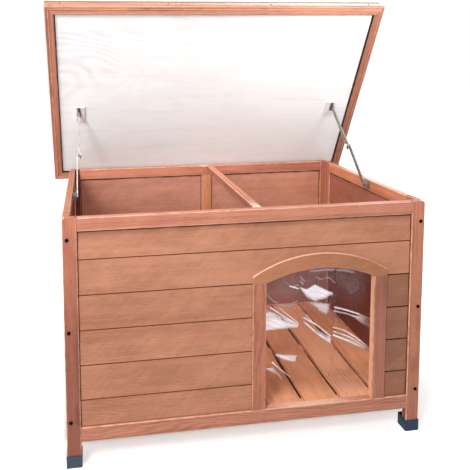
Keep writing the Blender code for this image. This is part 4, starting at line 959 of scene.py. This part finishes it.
class KENNEL_OT_floor(bpy.types.Operator):
    """Finish the floor slats"""
    bl_idname = "kennel.floor"
    bl_label = "Floor"

    def execute(self, context):
        dress("floor_grid", timber("floor_stain", stain("floor_pale"), stain("floor_deep"), "y", 60.0,
                                   rings=0.12, streaks=0.30, blotches=0.60, figure=0.15, ring_pitch=6.5 * MM,
                                   slats=True, tone=-0.08))
        return {"FINISHED"}


# The roof's mouldings: grain, shade, hue, and the axis and side of the inner edge.
# Shade and hue are painted light and shade: the front and back paler, the front
# also whiter, the left and right darker.
MOULDINGS = {
    "front": ("x", 1.16, (0.97, 1.14, 1.20), 1, 1),
    "back": ("x", 1.16, (1.0, 1.0, 1.0), 1, -1),
    "left": ("y", 0.84, (1.0, 1.0, 1.0), 0, 1),
    "right": ("y", 0.71, (1.0, 1.0, 1.0), 0, -1),
}


class KENNEL_OT_roof(bpy.types.Operator):
    """Finish the roof's edge, lining, deck and felt"""
    bl_idname = "kennel.roof"
    bl_label = "Roof"

    def execute(self, context):
        knot = (from_lid(-0.555, CORNER.y - 0.05, HEIGHT), (0.016, 0.016, 0.016), 0.6)
        edge = lid_span("lid_moulding_front")[0].y
        # Painted sheen along the front moulding's right part
        bleach_and_sheen = (from_lid(0.62, edge, HEIGHT + 0.016), (0.95, 0.018, 0.018), 0.95, stain("bleach_and_sheen"))
        spots = {"front": (knot, bleach_and_sheen), "left": (knot,)}
        for i, (side, (grain, light_and_shade, hue, axis, inward)) in enumerate(MOULDINGS.items()):
            node = "lid_moulding_" + side
            rim = lid_span(node)[int(inward > 0)][axis]
            # Painted shade in the gap beside the lining, and a fainter line further in
            shade_lines = ((axis, rim, 2.4 * MM, 0.85), (axis, rim - inward * 15 * MM, 1.8 * MM, 0.4))
            pale = tinted(tinted(stain("frame_pale"), hue), light_and_shade)
            deep = tinted(stain("frame_deep"), light_and_shade * 0.8)
            dress(node, timber(node + "_stain", pale, deep, grain, 70.0 + i, on_lid=True, rings=0.4,
                               streaks=0.8, figure=0.15, marks=spots.get(side, ()), arris_light_and_wear=0.45,
                               painted_shade_lines=shade_lines))
        pad = hard_finish("pad_plastic", (0.80, 0.74, 0.74), 0.45, 0.0, 80.0, 0.5, (0.50, 0.44, 0.44))
        dress("lid_lining", wash_finish(stain("wash_pale"), stain("wash_deep")), pad,
              pick=lambda centre: to_lid(*centre).z < HEIGHT - 0.3 * MM)
        # Near black, as painted shade in the gap beside the lining
        dress("lid_deck", timber("deck_timber", (0.09, 0.045, 0.035), (0.04, 0.02, 0.016), "x", 85.0,
                                 on_lid=True, arris_light_and_wear=0.0))
        tape = hard_finish("felt_edge_tape", (0.80, 0.73, 0.69), 0.6, 0.0, 60.0, 0.4, (0.66, 0.60, 0.57))
        low, high = lid_span("lid_felt")
        dress("lid_felt", felt_finish(), tape,
              pick=lambda centre: low.z + 0.4 * MM < to_lid(*centre).z < high.z - 0.4 * MM)
        return {"FINISHED"}


class KENNEL_OT_metalwork(bpy.types.Operator):
    """Finish the hinges and folding stays, and fit the stays' catches"""
    bl_idname = "kennel.metalwork"
    bl_label = "Metalwork"

    def execute(self, context):
        zinc = hard_finish("zinc_plate", (0.42, 0.39, 0.38), 0.50, 1.0, 160.0, 0.7, (0.14, 0.12, 0.11))
        dull = hard_finish("dull_zinc", (0.13, 0.11, 0.11), 0.55, 0.8, 160.0, 0.5)
        for node in frame["nodes"]:
            if node.startswith(("hinge_", "stay_")):
                dress(node, dull if node.endswith("lid_bracket") else zinc)
        nylon = hard_finish("white_nylon", (0.84, 0.84, 0.85), 0.35, 0.0, 150.0, 0.2, (0.74, 0.73, 0.72))
        rubber = hard_finish("black_clip", (0.022, 0.020, 0.021), 0.5, 0.0, 150.0, 0.3)
        for word, side in (("left", -1), ("right", 1)):
            stay_catch(word, side, nylon, rubber)
        return {"FINISHED"}


# In millimetres: the roller's profile as (radius, height), the clip's outline
# and its levels as (height, share of the outline)
ROLLER = ((0.0, 0.0), (4.2, 0.0), (4.8, 0.6), (4.8, 3.4), (4.2, 4.0), (2.2, 4.3), (0.0, 4.3))
CLIP = ((-5.0, -2.6), (4.0, -2.6), (6.2, -1.2), (6.2, 1.2), (4.0, 2.6), (-5.0, 2.6))
CLIP_LEVELS = ((0.0, 1.0), (2.4, 1.0), (3.2, 0.78))
ELBOW_INSET, CLIP_SETBACK, STAND_OFF = 7.5 * MM, 10.5 * MM, 0.3 * MM


def stay_catch(word, side, nylon, rubber):
    """White roller on the elbow rivet and the black spring clip beside it."""
    low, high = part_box(f"stay_{word}_upper_arm")
    inner = high.x if side < 0 else low.x
    elbow = Vector((inner, low.y + ELBOW_INSET, low.z + ELBOW_INSET))
    away = Vector((-side, 0.0, 0.0))
    heading = (Vector((0.0, high.y, high.z)) - Vector((0.0, low.y, low.z))).normalized()
    place = elbow + away * STAND_OFF
    body = f"stay_{word}_upper"
    add_piece(f"stay_{word}_roller", turned_profile(ROLLER), place, away, nylon, body)
    clip = bmesh.new()
    rings = [[clip.verts.new((a * share * MM, b * share * MM, level * MM)) for a, b in CLIP]
             for level, share in CLIP_LEVELS]
    for under, over in zip(rings, rings[1:]):
        for i in range(len(CLIP)):
            j = (i + 1) % len(CLIP)
            clip.faces.new((under[i], under[j], over[j], over[i]))
    clip.faces.new(rings[0][::-1])
    clip.faces.new(rings[-1])
    add_piece(f"stay_{word}_clip", clip, place - heading * CLIP_SETBACK, away, rubber, body, heading)


def turned_profile(points, sides=24):
    """Closed solid of revolution about Z from (radius, height) points in
    millimetres."""
    bm = bmesh.new()
    angles = [math.tau * i / sides for i in range(sides)]
    rings = [[bm.verts.new((radius * MM * math.cos(a), radius * MM * math.sin(a), height * MM))
              for a in (angles if radius else (0.0,))] for radius, height in points]
    for under, over in zip(rings, rings[1:]):
        for i in range(sides):
            j = (i + 1) % sides
            corners = [under[i % len(under)], under[j % len(under)], over[j % len(over)], over[i % len(over)]]
            bm.faces.new(list(dict.fromkeys(corners)))
    return bm


def mesh_from(name, bm):
    mesh = bpy.data.meshes.new(name)
    bm.to_mesh(mesh)
    bm.free()
    return mesh


def add_piece(name, bm, place, up, finish, body, along=None):
    """Object of a bmesh made round Z, stood on a place with Z along up."""
    x = along or up.orthogonal().normalized()
    turn = Matrix((x, up.cross(x), up)).transposed().to_4x4()
    bmesh.ops.transform(bm, matrix=Matrix.Translation(place) @ turn, verts=bm.verts)
    bmesh.ops.recalc_face_normals(bm, faces=bm.faces)
    mesh = mesh_from(name, bm)
    mesh.materials.append(finish)
    mesh.shade_smooth()
    mesh.set_sharp_from_angle(angle=math.radians(35))
    piece = new_object(name, mesh)
    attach(piece, body)


class KENNEL_OT_feet(bpy.types.Operator):
    """Finish the plastic foot caps"""
    bl_idname = "kennel.feet"
    bl_label = "Foot caps"

    def execute(self, context):
        caps = {
            "left": hard_finish("foot_cap_plastic", (0.022, 0.045, 0.080), 0.42, 0.0, 60.0, 0.35),
            # The same plastic darker, as painted shade on the right
            "right": hard_finish("foot_cap_plastic_blue", (0.006, 0.032, 0.066), 0.55, 0.0, 60.0,
                                 specular=0.35),
        }
        for node in frame["nodes"]:
            if node.startswith("foot_cap"):
                dress(node, caps[node.rsplit("_", 1)[1]])
        return {"FINISHED"}


class KENNEL_OT_curtain(bpy.types.Operator):
    """Hang the clear strips"""
    bl_idname = "kennel.curtain"
    bl_label = "Strip curtain"

    def execute(self, context):
        finish = film_finish()
        for word in ("left", "middle", "right"):
            film_strip(word, finish)
        return {"FINISHED"}


# Heights of the frame's bolts as shares of the kennel's, and their inset
BOLT_SHARES = (0.1856, 0.5496, 0.9151)
BOLT_INSET = 12.5 * MM
# The roof edge's screws: across, from the front, and above the shut lid's underside
SCREWS_ACROSS = (-0.5235, -0.1745, 0.1745, 0.5235)
SCREWS_DEEP = (0.06, 0.30, 0.54)
SCREW_RISE = 12.0 * MM
NAIL_INSET, NAIL_SPREAD, CLOUT_INSET = 15.0 * MM, 30.0 * MM, 14.0 * MM


class KENNEL_OT_fixings(bpy.types.Operator):
    """Put in the bolts, screws and nails"""
    bl_idname = "kennel.fixings"
    bl_label = "Fixings"

    def execute(self, context):
        sizes = context.scene.kennel_fixings
        dark = hard_finish("blackened_steel", (0.004, 0.003, 0.003), 0.6, 0.0, 200.0, 0.1, specular=0.05)
        screw = hard_finish("screw_steel", (0.030, 0.020, 0.018), 0.6, 0.0, 200.0, specular=0.2)
        bolts = []
        for side in (-1, 1):
            x = CORNER.x + WIDTH / 2.0 + side * (WIDTH / 2.0 - BOLT_INSET)
            for share in BOLT_SHARES:
                bolts.append(((x, CORNER.y - 0.5 * MM, share * HEIGHT), (0, -1, 0)))
                bolts.append(((x, CORNER.y + DEPTH + 0.5 * MM, share * HEIGHT), (0, 1, 0)))
        fixings("frame_bolts", bolts, "kennel", dark, sizes.bolt_radius, 1.0 * MM, 0.8)
        edge_y, side_x = lid_span("lid_moulding_front")[0].y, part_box("lid_moulding_right")[1].x
        z = HEIGHT + SCREW_RISE
        screws = [(from_lid(x, edge_y + 0.2 * MM, z), lid_aim(0, -1, 0)) for x in SCREWS_ACROSS]
        screws += [(from_lid(side * (side_x - 0.2 * MM), CORNER.y + y, z), lid_aim(side, 0, 0))
                   for side in (-1, 1) for y in SCREWS_DEEP]
        fixings("roof_edge_screws", screws, "lid", screw, sizes.screw_radius, dome=0.8)
        fixings("floor_nails", floor_nails(), "kennel", dark, sizes.nail_radius,
                0.5 * MM, 0.8, 1.5, 10)
        fixings("felt_clouts", felt_clouts(sizes.clout_count), "lid", screw, sizes.clout_radius,
                1.0 * MM, 0.75, 1.5)
        return {"FINISHED"}


def floor_nails():
    """Two nails through each slat into each batten."""
    spots = []
    rows = (FLOOR_LOW.y + NAIL_INSET, (FLOOR_LOW.y + FLOOR_HIGH.y) / 2.0, FLOOR_HIGH.y - NAIL_INSET)
    for slat in range(-4, 5):
        for dx in (-NAIL_SPREAD, NAIL_SPREAD):
            for y in rows:
                wander = math.sin(slat * 12.9 + dx * 900.0 + y * 37.0) * 3.0 * MM
                x = min(max(slat * SLAT_PITCH + dx + wander, FLOOR_LOW.x + 0.012), FLOOR_HIGH.x - 0.012)
                spots.append(((x, y + wander * 0.6, FLOOR_HIGH.z + 0.1 * MM), (0, 0, 1)))
    return spots


def felt_clouts(count):
    """Clout nails round the edge of the felt."""
    low, high = lid_span("lid_felt")
    reach, front, back = high.x - CLOUT_INSET, low.y + CLOUT_INSET, high.y - CLOUT_INSET
    top = high.z + 0.3 * MM
    places = [(-reach + 2.0 * reach * i / (count - 1), y) for i in range(count) for y in (front, back)]
    places += [(x, front + (back - front) * i / 6.0) for i in range(1, 6) for x in (-reach, reach)]
    return [(from_lid(x, y, top), lid_aim(0, 0, 1)) for x, y in places]


# Lamps: place and target from the middle of the kennel's top, size, and
# spread in degrees
LAMPS = {
    "key": ((-1.6, -1.9, 1.6), (0.0, -0.2, -0.25), 0.8, 180.0),
    "side": ((-2.3, -1.0, 1.1), (0.0, -0.2, -0.25), 1.0, 180.0),
    "lid": ((0.9, -1.6, 0.6), (0.45, 0.2, 0.55), 0.6, 40.0),
    "top": ((-0.2, -0.75, 2.1), (0.0, 0.0, -0.1), 0.5, 180.0),
    "lid_left": ((-0.9, -1.7, 0.5), (-0.30, 0.25, 0.36), 0.7, 34.0),
    "rear": ((1.6, 2.4, 0.5), (0.0, 0.0, -0.3), 1.0, 180.0),
}


def bright_rays(tree):
    """One for rays that show the surroundings themselves, zero for light on
    the object."""
    rays = outlets(tree.nodes.new("ShaderNodeLightPath"))
    return calc("MAXIMUM", rays["Is Camera Ray"],
                calc("MAXIMUM", rays["Is Glossy Ray"], rays["Is Transmission Ray"]))


def lay_floor(studio):
    """Pale floor with the kennel's soft shadow, and painted shadow under the floor slats."""
    bm = bmesh.new()
    bmesh.ops.create_grid(bm, x_segments=4, y_segments=4, size=studio.floor_size / 2.0)
    floor = new_object("studio_floor", mesh_from("studio_floor", bm))
    material, tree, shader, where = new_material("studio_white")
    x, y, _ = split(where)
    # How far outside the kennel's plan a point is, and how far inside
    out_x = abs(x - (CORNER.x + WIDTH / 2.0)) - WIDTH / 2.0
    out_y = abs(y - (CORNER.y + DEPTH / 2.0)) - DEPTH / 2.0
    outside = calc("LENGTH", join(calc("MAXIMUM", out_x, 0.0), calc("MAXIMUM", out_y, 0.0)))
    # Painted shadow beneath the floor grid, but for the strip seen under the front rail
    inside = calc("MAXIMUM", out_x, out_y) * -1.0
    under = ramp(inside, -0.03, 0.02) * ramp(y - CORNER.y, 0.07, 0.13)
    base = mix(noise(where, 3.0, 4.0), (0.84, 0.84, 0.84), (0.88, 0.88, 0.88))
    coat(shader, mix(under, base, (0.10, 0.07, 0.06)), 0.9, 0.1)
    feed(shader["Emission Color"], (1.0, 1.0, 1.0))
    glow = ramp(outside, 0.0, 0.5, studio.floor_glow, 1.0) * (1.0 - under)
    feed(shader["Emission Strength"], bright_rays(tree) * glow)
    floor.data.materials.append(material)


def light_scene(scene, studio):
    """Plain soft world for the object, white behind it, and the lamps."""
    scene.world = bpy.data.worlds.new("studio_world")
    scene.world.use_nodes = True
    tree, level = scene.world.node_tree, studio.world_level
    background = tree.nodes["Background"].inputs
    feed(background["Color"], (1.0, 1.0, 1.0))
    feed(background["Strength"], bright_rays(tree) * (1.0 - level) + level)
    centre = CORNER + Vector((WIDTH / 2.0, DEPTH / 2.0, HEIGHT))
    for name, (place, target, size, spread) in LAMPS.items():
        lamp = bpy.data.lights.new(name, "AREA")
        lamp.size, lamp.spread = size, math.radians(spread)
        lamp.energy = getattr(studio, name + "_power")
        holder = new_object(name, lamp)
        holder.location = centre + Vector(place)
        holder.rotation_euler = (Vector(target) - Vector(place)).to_track_quat("-Z", "Y").to_euler()


def set_camera(scene, studio):
    """Camera at the photograph's place, its shift set by the framing."""
    camera = bpy.data.cameras.new("camera")
    scene.camera = new_object("camera", camera)
    yaw, pitch, roll = studio.camera_turn
    forward = Vector((math.sin(yaw) * math.cos(pitch), math.cos(yaw) * math.cos(pitch), -math.sin(pitch)))
    right = Vector((math.cos(yaw), -math.sin(yaw), 0.0))
    up = right.cross(forward)
    across = right * math.cos(roll) + up * math.sin(roll)
    upward = up * math.cos(roll) - right * math.sin(roll)
    turn = Matrix((across, upward, -forward)).transposed().to_4x4()
    scene.camera.matrix_world = Matrix.Translation(CORNER + Vector(studio.camera_place)) @ turn
    camera.sensor_width = 36.0
    camera.lens = studio.focal_pixels / PHOTO_SIZE * camera.sensor_width
    camera.shift_x = (PHOTO_SIZE / 2.0 - studio.view_centre[0]) / PHOTO_SIZE
    camera.shift_y = (studio.view_centre[1] - PHOTO_SIZE / 2.0) / PHOTO_SIZE
    camera.clip_start, camera.clip_end = 0.05, 90.0


class KENNEL_OT_stage(bpy.types.Operator):
    """Set up the floor, the lights and the camera"""
    bl_idname = "kennel.stage"
    bl_label = "Studio"

    def execute(self, context):
        scene = context.scene
        scene.view_settings.view_transform = "Standard"
        lay_floor(scene.kennel_studio)
        light_scene(scene, scene.kennel_studio)
        set_camera(scene, scene.kennel_studio)
        return {"FINISHED"}


SETTINGS = {
    "kennel_stains": KennelStainSettings,
    "kennel_fixings": KennelFixingSettings,
    "kennel_studio": KennelStudioSettings,
}
STEPS = (
    KENNEL_OT_frame, KENNEL_OT_boards, KENNEL_OT_doorway, KENNEL_OT_floor, KENNEL_OT_roof,
    KENNEL_OT_metalwork, KENNEL_OT_feet, KENNEL_OT_curtain, KENNEL_OT_fixings, KENNEL_OT_stage,
)


class KENNEL_PT_finishes(bpy.types.Panel):
    bl_idname = "KENNEL_PT_finishes"
    bl_label = "Kennel finishes"
    bl_space_type = "VIEW_3D"
    bl_region_type = "UI"
    bl_category = "Kennel"

    def draw(self, context):
        layout = self.layout
        for step in STEPS:
            layout.operator(step.bl_idname)
        for settings in (getattr(context.scene, name) for name in SETTINGS):
            box = layout.box()
            for key in settings.bl_rna.properties.keys():
                if key not in {"rna_type", "name"}:
                    box.prop(settings, key)


CLASSES = (*SETTINGS.values(), *STEPS, KENNEL_PT_finishes)


def register():
    for item in CLASSES:
        bpy.utils.register_class(item)
    for name, kind in SETTINGS.items():
        setattr(bpy.types.Scene, name, PointerProperty(type=kind))


def unregister():
    for name in SETTINGS:
        delattr(bpy.types.Scene, name)
    for item in reversed(CLASSES):
        bpy.utils.unregister_class(item)


def main():
    register()
    for step in STEPS:
        family, name = step.bl_idname.split(".")
        getattr(getattr(bpy.ops, family), name)()


if __name__ == "__main__":
    main()
